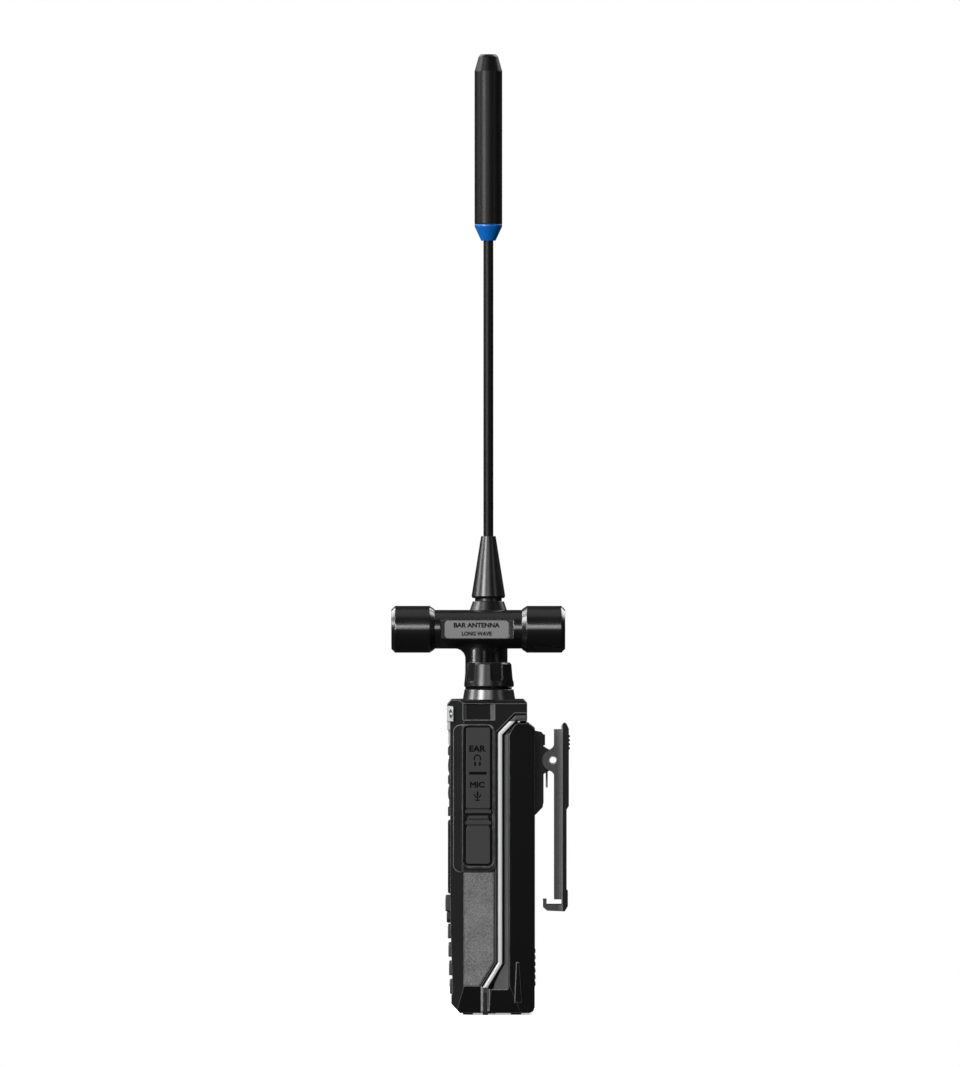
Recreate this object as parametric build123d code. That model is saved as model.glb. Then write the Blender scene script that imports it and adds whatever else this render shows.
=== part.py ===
from build123d import *
import math
import os

# Handheld scanning radio. Millimetres. X runs across the set (jack side is +X), Y from the
# keypad face (-) to the battery (+), and Z up from the surface it stands on.

# ---- the case as a whole
case_width = 60.0
case_height = 125.5
front_y = -16.7
battery_back_y = 17.1
case_bottom = 0.8
wall = 1.8
deck = 3.0
edge_bevel = 1.4

# ---- gaps
slide_gap = 0.3
running = 0.08
seat = 0.05
parting = 0.6
reveal = 0.15

# ---- front corners, side facets and the leaning keypad face
corner_start_y = -11.2
corner_slope = 3.0 / 4.9
facet_top = 11.6
facet_inset = 2.0
lean = 1.0
lean_top = 40.0
lean_bottom = 8.4
chin_back = 0.4
chin_top = 7.3
chin_bottom = 4.5
chin_undercut = 3.9
brow = 1.2
brow_height = 2.5
brow_lip = 0.5

# ---- chassis: a bent plate whose edge shows as the seam between shell and battery
shoulder_y = 14.0
shoulder_drop = 5.9
shoulder_run = 4.7
seam_y = 2.3
seam_top_drop = 13.1
kick_top = 21.0
kick_bottom = 11.2
kick_depth = 6.0
chassis_thickness = 2.1
chassis_bevel = 0.5
tongue_depth = 2.5
tongue_low = 24.0
tongue_top_drop = 15.5
toe_half_width = 6.0
toe_reach = 1.5
toe_height = 0.55
foot_half_width = 20.0
front_foot_y = -9.6
front_foot_depth = 4.0
rear_foot_y = 9.6
rear_foot_depth = 4.2

# ---- jack side: raised surround, pocket and rubber cover
surround_proud = 0.9
surround_front_y = -15.4
surround_rear_y = 1.3
surround_top_drop = 9.9
surround_height = 58.6
surround_corner = 3.0
surround_edge = 0.35
pocket_mouth = 0.45
pocket_front_y = -11.3
pocket_rear_y = 0.3
pocket_floor = 0.8
pocket_rim = 2.2
pocket_corner = 2.4
cover_gap = 0.95
cover_thickness = 1.5
cover_edge = 0.35
web_inset = 0.5
root_inset = 1.0
flap_height = 32.3
hinge_rib = 1.3
hinge_rib_gap = 0.95
hinge_rib_inset = 0.9
jack_y = -5.6
jack_drops = (23.9, 38.2)
jack_bore = (1.75, 1.25)
jack_barrel = 2.3
jack_block = 7.2
jack_length = 11.0
plug_stub = (1.0, 0.8)
plug_stub_length = 1.6

# ---- recess above the surround, on both sides
channel_low_drop = 8.0
channel_high_drop = 1.5
channel_depth = 1.2
channel_mouth = (-11.8, 1.4)
channel_floor = (-10.4, -0.6)

# ---- grip panels
grip_front_y = -11.2
grip_seam_gap = 1.0
grip_depth = 1.0
grip_proud = 0.12

# ---- push-to-talk bar on the -X side
ptt_drop = 37.5
ptt_height = 32.0
ptt_proud = 1.1
ptt_corner = 2.0
ptt_edge = 0.8
ptt_travel = 1.0
flange_thickness = 0.8
flange_lip = 0.8

# ---- front panel, from the top down
trim_proud = 1.3
trim_step_proud = 0.8
trim_top_drop = 2.6
trim_step_drop = 12.0
trim_bottom_drop = 17.7
trim_wing_bottom_drop = 8.5
trim_wing_proud = 0.8
trim_wing_rear_y = -15.1
trim_step_half_width = 22.0
grille_half_width = 17.5
grille_top_drop = 18.3
grille_bottom_drop = 46.4
grille_plate = 0.45
bar_proud = 0.9
grille_bars = ((20.6, 3.2), (32.05, 3.3))
grille_fins = ((26.3, 5.6), (37.2, 5.4))
grille_slots = ((22.85, 1.1), (29.75, 1.1), (41.3, 2.4))
grille_sill = (44.8, 3.2)
speaker_radius = 13.0
speaker_depth = 5.5
display_top = 77.0
display_bottom = 48.4
display_half_width = 24.5
display_proud = 0.9
window_margin = (5.5, 4.2)
window_ledge = 1.4
window_thickness = 1.2
lcd_depth = 2.6

# ---- keys
key_gap = 0.3
key_edge = 0.55
key_travel = 0.5
function_z = 44.1
function_height = 5.7
function_width = 10.4
function_pitch = 12.6
function_proud = 1.9
function_names = ("menu_key", "up_key", "down_key", "exit_key")
swoosh_top = 40.9
swoosh_bottom = 36.2
swoosh_half_width = 24.0
swoosh_proud = 1.4
digit_first_z = 32.9
digit_pitch_z = 7.37
digit_pitch_x = 17.0
digit_width = 13.0
digit_height = 4.9
digit_proud = 1.15
digit_names = (
    ("key_1", "key_2", "key_3"),
    ("key_4", "key_5", "key_6"),
    ("key_7", "key_8", "key_9"),
    ("key_star", "key_0", "key_hash"),
)
board_thickness = 1.2
dome_height = 0.2
dome_radius = 1.5

# ---- boards, screws and the small parts behind the front wall
main_board_half_width = 25.5
screw_x = 22.0
screw_inset = 3.0
screw_radius = 1.2
screw_head_radius = 2.2
screw_head_height = 0.5
screw_length = 6.0
microphone_x = 21.5
microphone_drop = 42.0
microphone_radius = 2.4
microphone_depth = 2.2
sound_hole = 0.6

# ---- battery
battery_top_drop = 9.4
battery_wall = 1.6
battery_cover_thickness = 1.0
battery_bevel = 0.9
battery_chamfer = (2.6, 2.1)
battery_heel = 2.2
battery_corner_y = 7.0
battery_corner_inset = 4.2
battery_lead_slope = 0.33
battery_lead_bottom = 10.2
cell_gap = 0.6
cell_corner = 1.5
side_rib_top = (9.7, 10.7, 21.0)
side_rib_bottom = (9.0, 11.8, 5.0)
side_rib_proud = 0.35
contact_z = 32.0
contact_pitch = 7.0
contact_count = 4
contact_width = 3.0
contact_height = 6.0
contact_thickness = 0.4
latch_half_width = 8.0
latch_front_y = 11.0
latch_rear_y = 14.0
latch_height = 2.6
latch_edge = 0.3
latch_proud = 0.5
latch_travel = 0.9

# ---- belt clip
clip_half_width = 10.0
clip_flange = 1.6
clip_base_height = 33.8
clip_base_top_drop = 12.5
clip_base_depth = 3.5
clip_pin_y = 24.4
clip_pin_drop = 24.3
clip_pin_radius = 1.8
clip_pin_bore = 1.375
clip_ear_radius = 4.4
clip_ear_blend = 2.4
clip_lug_radius = 3.2
clip_lug_width = 2.5
clip_lug_half_height = 5.8
clip_flange_y = (24.8, 27.8)
clip_back_y = 29.8
clip_pad_y = 30.7
clip_top_drop = 9.3
clip_flange_top_drop = 12.0
clip_pad_bottom_drop = 43.9
clip_length = 75.3
clip_hook_y = (20.4, 21.8)
clip_hook_height = 4.8
clip_hook_floor = 2.7
clip_toe_y = 30.3
clip_toe_height = 8.1
clip_ribs = 4
clip_rib_pitch = 1.6
clip_rib_first_drop = 14.7
clip_rib_radius = 0.45
clip_spring_half = 4.8
clip_spring_wire = 0.8
clip_spring_gap = 0.3
clip_spring_leg = 11.0

# ---- volume knob
knob_x = 18.5
knob_y = -1.2
collar_height = 4.1
collar_radius = (10.5, 9.8)
knob_gap = 1.0
knob_height = 9.8
knob_radius = (9.97, 9.2)
knob_foot_edge = 0.4
knob_top_edge = 0.7
knob_notches = 5
knob_notch_first = 19.0
knob_notch_width = 4.9
knob_notch_depth = 0.9
knob_notch_bottom = 2.2
knob_notch_corner = 1.2
shaft_radius = 3.0
shaft_reach = 6.8
bush_wall = 1.2
encoder_size = 11.0
encoder_height = 6.0

# ---- antenna sockets
socket_radius = 3.1
socket_height = 9.0
socket_flange_radius = 5.0
socket_flange_height = 2.0

# ---- whip antenna
whip_x = -19.5
whip_y = -1.44
whip_base_radius = 7.7
whip_base_height = 35.1
whip_shoulder = (7.5, 35.5)
whip_neck = (6.26, 39.1)
whip_groove = (5.4, 40.4)
whip_boot_foot = (6.77, 41.2)
whip_foot_edge = 0.4
whip_boot_tip = (2.93, 65.3)
whip_rod_radius = 2.0
whip_rod_start = 24.5
whip_ring_start = 183.7
whip_ring_small = 2.9
whip_ring_brow = 1.0
whip_ring_edge = 0.3
whip_sleeve_start = 190.4
whip_sleeve_radius = 5.56
whip_taper_start = 251.6
whip_tip_radius = 3.9
whip_tip_round = 0.9
whip_top = 258.4
whip_rod_cover = 5.8

# ---- bar antenna
bar_x = 0.0
bar_y = -5.5
bar_rise = 28.0
bar_radius = 7.75
bar_half_length = 34.75
bar_bore = 5.9
bar_neck_radius = 5.2
bar_fillet = 4.0
bar_cap_radius = 9.37
bar_cap_length = 15.3
bar_cap_taper = 2.0
bar_cap_wall = 2.0
bar_cap_chamfer = 1.5
bar_flat = 6.78
bar_flat_y = (-20.6, 8.6)
label_length = 25.7
label_height = 7.2
label_thickness = 0.4
label_corner = 1.5
label_fit = 0.05
label_y = -6.1
ferrite_radius = 4.0
coil_radius = (4.1, 5.4)
coil_half_length = 12.0

half = case_width / 2
inner_half = half - wall
top = case_height
under_deck = top - deck


def block(x, y, z):
    """Box between a (low, high) pair on each axis."""
    size = [axis[1] - axis[0] for axis in (x, y, z)]
    middle = [(axis[0] + axis[1]) / 2 for axis in (x, y, z)]
    return Pos(*middle) * Box(*size)


def about(centre, length):
    """(low, high) pair of the given length around a centre."""
    return (centre - length / 2, centre + length / 2)


def from_side(outline, x_low, x_high):
    """Closed outline of (Y, Z) points carried along X."""
    face = make_face(Polyline(*outline, close=True))
    return Pos(x_low, 0, 0) * extrude(Plane.YZ * face, x_high - x_low)


def from_front(outline, y_low, y_high):
    """Closed outline of (X, Z) points carried along Y."""
    face = make_face(Polyline(*outline, close=True))
    return Pos(0, y_high, 0) * extrude(Plane.XZ * face, y_high - y_low)


def from_above(outline, z_low, z_high):
    """Closed outline of (X, Y) points carried along Z."""
    face = make_face(Polyline(*outline, close=True))
    return Pos(0, 0, z_low) * extrude(face, z_high - z_low)


def turned(profile, x=0.0, y=0.0):
    """Profile of (radius, Z) points turned about a vertical axis."""
    face = Plane.XZ * make_face(Polyline(*profile, close=True))
    return Pos(x, y, 0) * revolve(face, Axis.Z)


def post(x, y, z_low, z_high, radius):
    """Upright round bar."""
    bar = Cylinder(radius, z_high - z_low, align=(Align.CENTER, Align.CENTER, Align.MIN))
    return Pos(x, y, z_low) * bar


def cross_bar(x_low, x_high, y, z, radius):
    """Round bar lying across the set."""
    bar = Cylinder(radius, x_high - x_low, align=(Align.CENTER, Align.CENTER, Align.MIN))
    return Pos(x_low, y, z) * Rot(0, 90, 0) * bar


def long_bar(x, y_low, y_high, z, radius):
    """Round bar lying front to back."""
    bar = Cylinder(radius, y_high - y_low, align=(Align.CENTER, Align.CENTER, Align.MIN))
    return Pos(x, y_low, z) * Rot(-90, 0, 0) * bar


def rounded_side_plate(y, z, x, corner, taper=0.0):
    """Plate facing sideways with rounded corners; y, z and x are (low, high) pairs."""
    face = RectangleRounded(y[1] - y[0], z[1] - z[0], corner)
    face = Plane.YZ * Pos((y[0] + y[1]) / 2, (z[0] + z[1]) / 2) * face
    return Pos(x[0], 0, 0) * extrude(face, x[1] - x[0], taper=taper)


def mirrored(solid):
    """The solid and its mirror image on the other side of the set."""
    return [solid, mirror(solid, about=Plane.YZ)]


def inner_corner_y(inset):
    """Where the cut corners start on a wall brought in from the case's side."""
    return corner_start_y + inset * (math.hypot(1, corner_slope) - corner_slope)


def parallel(points, distance):
    """Line that runs a steady distance to the rear of an open (Y, Z) line going down."""
    normals = []
    for (y0, z0), (y1, z1) in zip(points, points[1:]):
        length = math.hypot(y1 - y0, z1 - z0)
        normals.append((-(z1 - z0) / length, (y1 - y0) / length))
    before = [normals[0]] + normals
    after = normals + [normals[-1]]
    moved = []
    for (y, z), a, b in zip(points, before, after):
        scale = distance / (1 + a[0] * b[0] + a[1] * b[1])
        moved.append((y + (a[0] + b[0]) * scale, z + (a[1] + b[1]) * scale))
    return moved


def seam_line():
    """Front edge of the chassis plate, from the rear shoulder down to the floor."""
    return [
        (shoulder_y, top - shoulder_drop),
        (shoulder_y - shoulder_run, top - shoulder_drop),
        (seam_y, top - seam_top_drop),
        (seam_y, kick_top),
        (seam_y - kick_depth, kick_bottom),
        (seam_y - kick_depth, 0.0),
    ]


def face_y(z):
    """Y of the front face at a height: upright above, leaning back over the keypad."""
    share = (lean_top - z) / (lean_top - lean_bottom)
    return front_y + lean * min(max(share, 0.0), 1.0)


def corner_x(y):
    """Half width of the case at a depth, where the front corners are cut off."""
    return half - max(corner_start_y - y, 0.0) * corner_slope


def elevation(low, high, grow=0.0):
    """Front view of the case between two heights: facets at the foot, bevels at the top."""
    side = half + grow
    foot = side - facet_inset * (facet_top - low) / facet_top
    right = [(foot, low), (side, facet_top), (side, high - edge_bevel), (side - edge_bevel, high)]
    return right + [(-x, z) for x, z in reversed(right)]


def plan(inset=0.0):
    """Plan of the case with its cut front corners, brought in by a wall."""
    side = half - inset
    turn = inner_corner_y(inset)
    front = front_y - brow - 1.0
    nose = side - (turn - front) * corner_slope
    rear = battery_back_y + 5.0
    return [(side, rear), (side, turn), (nose, front), (-nose, front), (-side, turn), (-side, rear)]


def case_blank():
    """Front shell before it is hollowed."""
    front = [
        (front_y + chin_undercut, case_bottom),
        (front_y + chin_back, chin_bottom),
        (front_y + chin_back, chin_top),
        (front_y + lean, lean_bottom),
        (front_y, lean_top),
        (front_y, top - brow_height),
        (front_y - brow, top - brow_height + brow_lip / 2),
        (front_y - brow, top - brow_height + brow_lip),
        (front_y + brow_lip, top),
        (shoulder_y - edge_bevel, top),
        (shoulder_y, top - edge_bevel),
    ]
    seam = parallel(seam_line(), -parting)
    solid = from_side(front + seam, -half, half)
    reach = (front_y - brow, shoulder_y)
    solid = solid & from_front(elevation(case_bottom, top), *reach)
    return solid & from_above(plan(), 0.0, top)


def case_hollow():
    """Room inside the front shell, open to the rear where the chassis closes it."""
    inner = [
        (front_y + lean + wall + 1.0, case_bottom + wall),
        (front_y + lean + wall, lean_bottom),
        (front_y + wall, lean_top),
        (front_y + wall, under_deck),
        (shoulder_y - wall, under_deck),
        (shoulder_y - wall, case_bottom + wall),
    ]
    room = from_side(inner, -inner_half, inner_half)
    return room & from_above(plan(wall), 0.0, top)


def surround_z():
    return (top - surround_top_drop - surround_height, top - surround_top_drop)


def surround_outer():
    """Plan of the raised frame: flat along the side, then along the cut corner."""
    side = half + surround_proud
    turn = inner_corner_y(-surround_proud)
    nose = side - (turn - surround_front_y) * corner_slope
    return [(half - 4.0, surround_rear_y), (side, surround_rear_y), (side, turn), (nose, surround_front_y),
            (half - 4.0, surround_front_y)]


def pocket_z():
    low, high = surround_z()
    return (low + pocket_rim, high - reveal)


def cover_z():
    low, high = pocket_z()
    return (low + cover_gap, high - cover_gap)


def hinge_z():
    """Height of the line the rubber flap folds about, just under the flap's own rib."""
    return cover_z()[1] - flap_height - hinge_rib_gap / 2 - hinge_rib - hinge_rib_gap / 2


def grip_outline(inset):
    low = facet_top + inset
    high = surround_z()[0] - inset
    front = grip_front_y + inset
    seam = parallel(seam_line(), -parting - grip_seam_gap - inset)
    rear = seam[3]
    kick = seam[4]
    share = (low - kick[1]) / (rear[1] - kick[1])
    heel = kick[0] + share * (rear[0] - kick[0])
    return [(front, low), (front, high), (rear[0], high), rear, (heel, low)]


def ptt_y():
    """(front, rear) of the push-to-talk bar, whose flange clears the corner and the tongue."""
    clear = slide_gap + flange_lip
    return (inner_corner_y(wall) + clear, seam_y - tongue_depth - clear)


def digit_places():
    for row, names in enumerate(digit_names):
        for column, name in enumerate(names):
            yield name, (column - 1) * digit_pitch_x, digit_first_z - row * digit_pitch_z


def function_places():
    for column, name in enumerate(function_names):
        yield name, (column - (len(function_names) - 1) / 2) * function_pitch, function_z


def key_opening(x, z, width, height):
    return block(about(x, width + 2 * key_gap), (front_y - 1, front_y + lean + wall + 1),
                 about(z, height + 2 * key_gap))


def screw_places():
    low = tongue_low + screw_inset
    high = top - tongue_top_drop - screw_inset
    return [(x, z) for x in (-screw_x, screw_x) for z in (low, high)]


def window_size():
    width = 2 * (display_half_width - window_margin[0])
    height = display_top - display_bottom - 2 * window_margin[1]
    return width, height, (display_top + display_bottom) / 2


def front_shell():
    """Front casing: keypad face, top deck, sides, feet and the frame round the side cover."""
    shell = case_blank()
    frame_y = (surround_front_y, surround_rear_y)
    raised = (half - 4.0, half + surround_proud)
    frame = rounded_side_plate(frame_y, surround_z(), raised, surround_corner)
    frame = frame & from_above(surround_outer(), *surround_z())
    frame = chamfer(frame.faces().sort_by(Axis.X)[-1].edges(), surround_edge)
    shell = shell + frame
    shell = shell - case_hollow()
    shell = shell + block(about(0, 2 * foot_half_width), about(front_foot_y, front_foot_depth),
                          (0.0, case_bottom + wall / 2))
    pocket = (half - pocket_floor, half + surround_proud + 1)
    pocket_y = (pocket_front_y, pocket_rear_y)
    shell = shell - rounded_side_plate(pocket_y, pocket_z(), pocket, pocket_corner)
    mouth = (half + surround_proud - pocket_mouth, half + surround_proud + 1)
    shell = shell - rounded_side_plate(pocket_y, pocket_z(), mouth, pocket_corner, -45)
    for drop in jack_drops:
        shell = shell - cross_bar(inner_half - 1, half, jack_y, top - drop, jack_barrel + seat)
    channel = [
        (half + 1, channel_mouth[0] - 1.0),
        (half - channel_depth, channel_floor[0]),
        (half - channel_depth, channel_floor[1]),
        (half + 1, channel_mouth[1] + 1.0),
    ]
    for cut in mirrored(from_above(channel, top - channel_low_drop, top - channel_high_drop)):
        shell = shell - cut
    grip_cut = from_side(grip_outline(0.0), half - grip_depth, half + 1)
    for cut in mirrored(grip_cut):
        shell = shell - cut
    shell = shell - block((-half - 1, -inner_half + 1), (ptt_y()[0] - key_gap, ptt_y()[1] + key_gap),
                          about(top - ptt_drop, ptt_height + 2 * key_gap))
    for name, x, z in digit_places():
        shell = shell - key_opening(x, z, digit_width, digit_height)
    for name, x, z in function_places():
        shell = shell - key_opening(x, z, function_width, function_height)
    width, height, middle = window_size()
    shell = shell - block(about(0, width + 2 * window_ledge), (front_y - 1, front_y + wall + 1),
                          about(middle, height + 2 * window_ledge))
    slots_low = top - grille_slots[-1][0] - grille_slots[-1][1]
    slots_high = top - grille_slots[0][0] + grille_slots[0][1]
    shell = shell - block(about(0, 2 * grille_half_width - 5.0), (front_y - 1, front_y + wall + 1),
                          (slots_low, slots_high))
    shell = shell - long_bar(microphone_x, front_y - 1, front_y + wall + 1, top - microphone_drop,
                             sound_hole)
    shell = shell - post(knob_x, knob_y, under_deck - 1, top + 1, shaft_radius + bush_wall + seat)
    for x, y in ((whip_x, whip_y), (bar_x, bar_y)):
        shell = shell - post(x, y, under_deck - 1, top + 1, socket_radius + seat)
    return shell


def chassis():
    """Cast inner frame: the bent plate, the tongue inside the shell and the toe underneath."""
    seam = seam_line()
    rear = parallel(seam, chassis_thickness)
    plate = from_side(seam + rear[::-1], -half, half)
    ends = plate.faces().sort_by(Axis.X)
    plate = chamfer(ends[0].edges() + ends[-1].edges(), chassis_bevel)
    plate = plate & from_front(elevation(0.0, top), -2 * half, 2 * half)
    tongue_top = top - tongue_top_drop
    plate = plate + block((-inner_half, inner_half), (seam_y - tongue_depth, seam_y),
                          (tongue_low, tongue_top))
    plate = plate + block((-toe_half_width, toe_half_width), (seam_y - kick_depth, toe_reach),
                          (0.0, toe_height))
    for x, z in screw_places():
        plate = plate - long_bar(x, seam_y - tongue_depth - 1, seam_y + chassis_thickness + 1, z,
                                 screw_radius + seat)
        plate = plate - long_bar(x, seam_y + chassis_thickness - screw_head_height - seat,
                                 seam_y + chassis_thickness + 1, z, screw_head_radius + seat)
    for x in contact_places():
        plate = plate - block(about(x, contact_width + 2 * seat), (seam_y - tongue_depth - 1, seam_y + 5),
                              about(contact_z, contact_height + 2 * seat))
    return plate


def contact_places():
    middle = (contact_count - 1) / 2
    return [(index - middle) * contact_pitch for index in range(contact_count)]


def grip_panels():
    """Textured side panels, let into the shell flush with its sides."""
    panel = from_side(grip_outline(reveal), half - grip_depth, half + grip_proud)
    return Compound(children=mirrored(panel))


def front_trim():
    """Bright plate across the brow, with wings that wrap the cut corners."""
    low = top - trim_step_drop
    high = top - trim_top_drop
    wing_low = top - trim_wing_bottom_drop
    wing_x = corner_x(trim_wing_rear_y) + trim_wing_proud * 0.85
    nose_x = corner_x(front_y) + trim_wing_proud * 0.6
    flat_x = nose_x - trim_proud
    right = [
        (wing_x, trim_wing_rear_y - trim_wing_proud * 0.5),
        (nose_x, front_y - trim_wing_proud * 0.6),
        (flat_x, front_y - trim_proud),
    ]
    outline = [(0.0, front_y + 4.0)] + right + [(-x, y) for x, y in reversed(right)]
    plate = from_above(outline, low, high)
    for cut in mirrored(block((flat_x, half), (front_y - 5, 0.0), (low - 1, wing_low))):
        plate = plate - cut
    plate = plate + block((-trim_step_half_width, trim_step_half_width),
                          (front_y - trim_step_proud, front_y + 1), (top - trim_bottom_drop, low))
    shell_front = from_side(
        [(front_y, 0), (front_y, top), (front_y + 20, top), (front_y + 20, 0)], -half, half)
    return plate - (shell_front & from_above(plan(), 0.0, top))


def speaker_grille():
    """Slotted plate over the speaker with two raised bars."""
    low = top - grille_bottom_drop
    high = top - grille_top_drop
    x = (-grille_half_width, grille_half_width)
    plate = block(x, (front_y - grille_plate, front_y), (low, high))
    for drop, height in grille_bars:
        bar = block(x, (front_y - bar_proud, front_y - grille_plate), about(top - drop, height))
        bar = chamfer(bar.faces().sort_by(Axis.Y)[0].edges(), bar_proud / 3)
        plate = plate + bar
    for drop, height in grille_slots:
        plate = plate - block(about(0, 2 * grille_half_width - 5.0), (front_y - 2, front_y + 1),
                              about(top - drop, height))
    return plate


def grille_trim():
    """Bright fins between the grille's bars, each swelling towards its middle."""
    x = (-grille_half_width, grille_half_width)
    pieces = []
    for drop, height in grille_fins:
        z = top - drop
        base = front_y - grille_plate
        fin = [
            (base, z - height / 2),
            (base - bar_proud / 3, z - height / 3),
            (base - bar_proud / 2, z),
            (base - bar_proud / 3, z + height / 3),
            (base, z + height / 2),
        ]
        pieces.append(from_side(fin, *x))
    drop, height = grille_sill
    pieces.append(block(x, (front_y - bar_proud, front_y - grille_plate), about(top - drop, height)))
    return Compound(children=pieces)


def speaker_driver():
    """Loudspeaker: frame, magnet and cone, against the back of the front wall."""
    z = top - (grille_top_drop + grille_bottom_drop) / 2
    back = front_y + wall
    driver = long_bar(0, back, back + speaker_depth * 0.4, z, speaker_radius)
    driver = driver - long_bar(0, back, back + speaker_depth * 0.2, z, speaker_radius - 1.5)
    return driver + long_bar(0, back + speaker_depth * 0.4, back + speaker_depth, z, speaker_radius / 2)


def display_bezel():
    """Gloss frame round the display."""
    width, height, middle = window_size()
    bezel = block((-display_half_width, display_half_width), (front_y - display_proud, front_y),
                  (display_bottom, display_top))
    bezel = chamfer(bezel.faces().sort_by(Axis.Y)[0].edges(), display_proud / 2)
    return bezel - block(about(0, width), (front_y - 3, front_y + 1), about(middle, height))


def display_window():
    """Clear pane set in the shell behind the bezel."""
    width, height, middle = window_size()
    return block(about(0, width + 2 * window_ledge), (front_y, front_y + window_thickness),
                 about(middle, height + 2 * window_ledge))


def lcd_module():
    width, height, middle = window_size()
    start = front_y + window_thickness
    return block(about(0, width + window_ledge), (start, start + lcd_depth),
                 about(middle, height + window_ledge))


def keypad_trim():
    """Bright swoosh between the function keys and the digits."""
    x = swoosh_half_width
    low_dip = (swoosh_top - swoosh_bottom) * 0.35
    face = make_face(
        Line((-x, swoosh_top), (x, swoosh_top))
        + Line((x, swoosh_top), (x, swoosh_bottom + low_dip))
        + ThreePointArc((x, swoosh_bottom + low_dip), (0, swoosh_bottom), (-x, swoosh_bottom + low_dip))
        + Line((-x, swoosh_bottom + low_dip), (-x, swoosh_top))
    )
    plate = Pos(0, front_y + 1, 0) * extrude(Plane.XZ * face, 1 + swoosh_proud)
    plate = chamfer(plate.faces().sort_by(Axis.Y)[0].edges(), swoosh_proud / 3)
    body = from_side([(face_y(0), 0), (face_y(lean_bottom), lean_bottom), (front_y, lean_top),
                      (front_y, top), (0, top), (0, 0)], -half, half)
    return plate - body


def key(x, z, width, height, proud):
    """Key cap with a flange that keeps it behind the front wall."""
    tall = height + 2 * flange_lip
    back = face_y(z - tall / 2) + wall + slide_gap / 2
    cap = block(about(x, width), (face_y(z) - proud, back), about(z, height))
    cap = fillet(cap.edges().filter_by(Axis.Y), key_edge)
    cap = fillet(cap.faces().sort_by(Axis.Y)[0].edges(), key_edge * 0.8)
    flange = block(about(x, width + 2 * flange_lip), (back, back + flange_thickness), about(z, tall))
    return cap + flange


def keypad_board():
    """Board behind the keys, with a rubber dome for each of them."""
    low = digit_first_z - (len(digit_names) - 1) * digit_pitch_z - digit_height / 2
    high = function_z + function_height / 2
    y = front_y + lean + wall + slide_gap / 2 + flange_thickness + key_travel + slide_gap
    board = block((-main_board_half_width, main_board_half_width), (y, y + board_thickness), (low, high))
    for name, x, z in list(digit_places()) + list(function_places()):
        board = board + long_bar(x, y - dome_height, y, z, dome_radius)
    return board


def main_board():
    """Main circuit board on the chassis tongue, with screening cans."""
    rear = seam_y - tongue_depth
    high = top - tongue_top_drop
    board = block((-main_board_half_width, main_board_half_width), (rear - board_thickness, rear),
                  (tongue_low, high))
    front = rear - board_thickness
    for low, height, reach in ((tongue_low + 4, 22, 3.0), (tongue_low + 30, 16, 2.2)):
        board = board + block((-18, 12), (front - reach, front), (low, low + height))
    for x, z in screw_places():
        board = board - long_bar(x, front - 1, rear + 1, z, screw_radius + seat)
    return board


def shell_screws():
    """Screws through the chassis and the main board, heads on the battery side."""
    screws = []
    head_back = seam_y + chassis_thickness
    for x, z in screw_places():
        head = long_bar(x, head_back - screw_head_height, head_back, z, screw_head_radius)
        shank = long_bar(x, head_back - screw_length, head_back - screw_head_height, z, screw_radius)
        cross = block(about(x, 2.4), (head_back - 0.3, head_back + 1), about(z, 0.5))
        cross = cross + block(about(x, 0.5), (head_back - 0.3, head_back + 1), about(z, 2.4))
        screws.append(head + shank - cross)
    return Compound(children=screws)


def accessory_jacks():
    """Earphone and microphone jacks behind the side cover."""
    jacks = []
    board_face = seam_y - tongue_depth - board_thickness
    for drop, bore in zip(jack_drops, jack_bore):
        z = top - drop
        jack = block((inner_half - jack_length, inner_half), (board_face - jack_block, board_face),
                     about(z, jack_block))
        jack = jack + cross_bar(inner_half, half - pocket_floor, jack_y, z, jack_barrel)
        jack = jack - cross_bar(inner_half - jack_length + 1, half, jack_y, z, bore)
        jacks.append(jack)
    return Compound(children=jacks)


def cover_x():
    outer = half + surround_proud - reveal
    return (outer - cover_thickness, outer)


def cover_y():
    return (pocket_front_y + cover_gap, pocket_rear_y - cover_gap)


def jack_cover_flap():
    """Rubber flap over the jacks: its plate, the first hinge rib and a stub for each jack."""
    y = cover_y()
    x = cover_x()
    high = cover_z()[1]
    low = high - flap_height
    flap = rounded_side_plate(y, (low, high), x, 0.7)
    flap = fillet(flap.faces().sort_by(Axis.X)[-1].edges(), cover_edge)
    rib_top = low - hinge_rib_gap / 2
    web = block((x[0], x[0] + cover_thickness * 0.5), (y[0] + web_inset, y[1] - web_inset),
                (rib_top - hinge_rib / 2, low + 1))
    flap = flap + web
    flap = flap + block(x, (y[0] - 0.3, y[1] + 0.3), (rib_top - hinge_rib, rib_top))
    for drop, radius in zip(jack_drops, plug_stub):
        flap = flap + cross_bar(x[0] - plug_stub_length, x[0], jack_y, top - drop, radius)
    return flap


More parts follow.
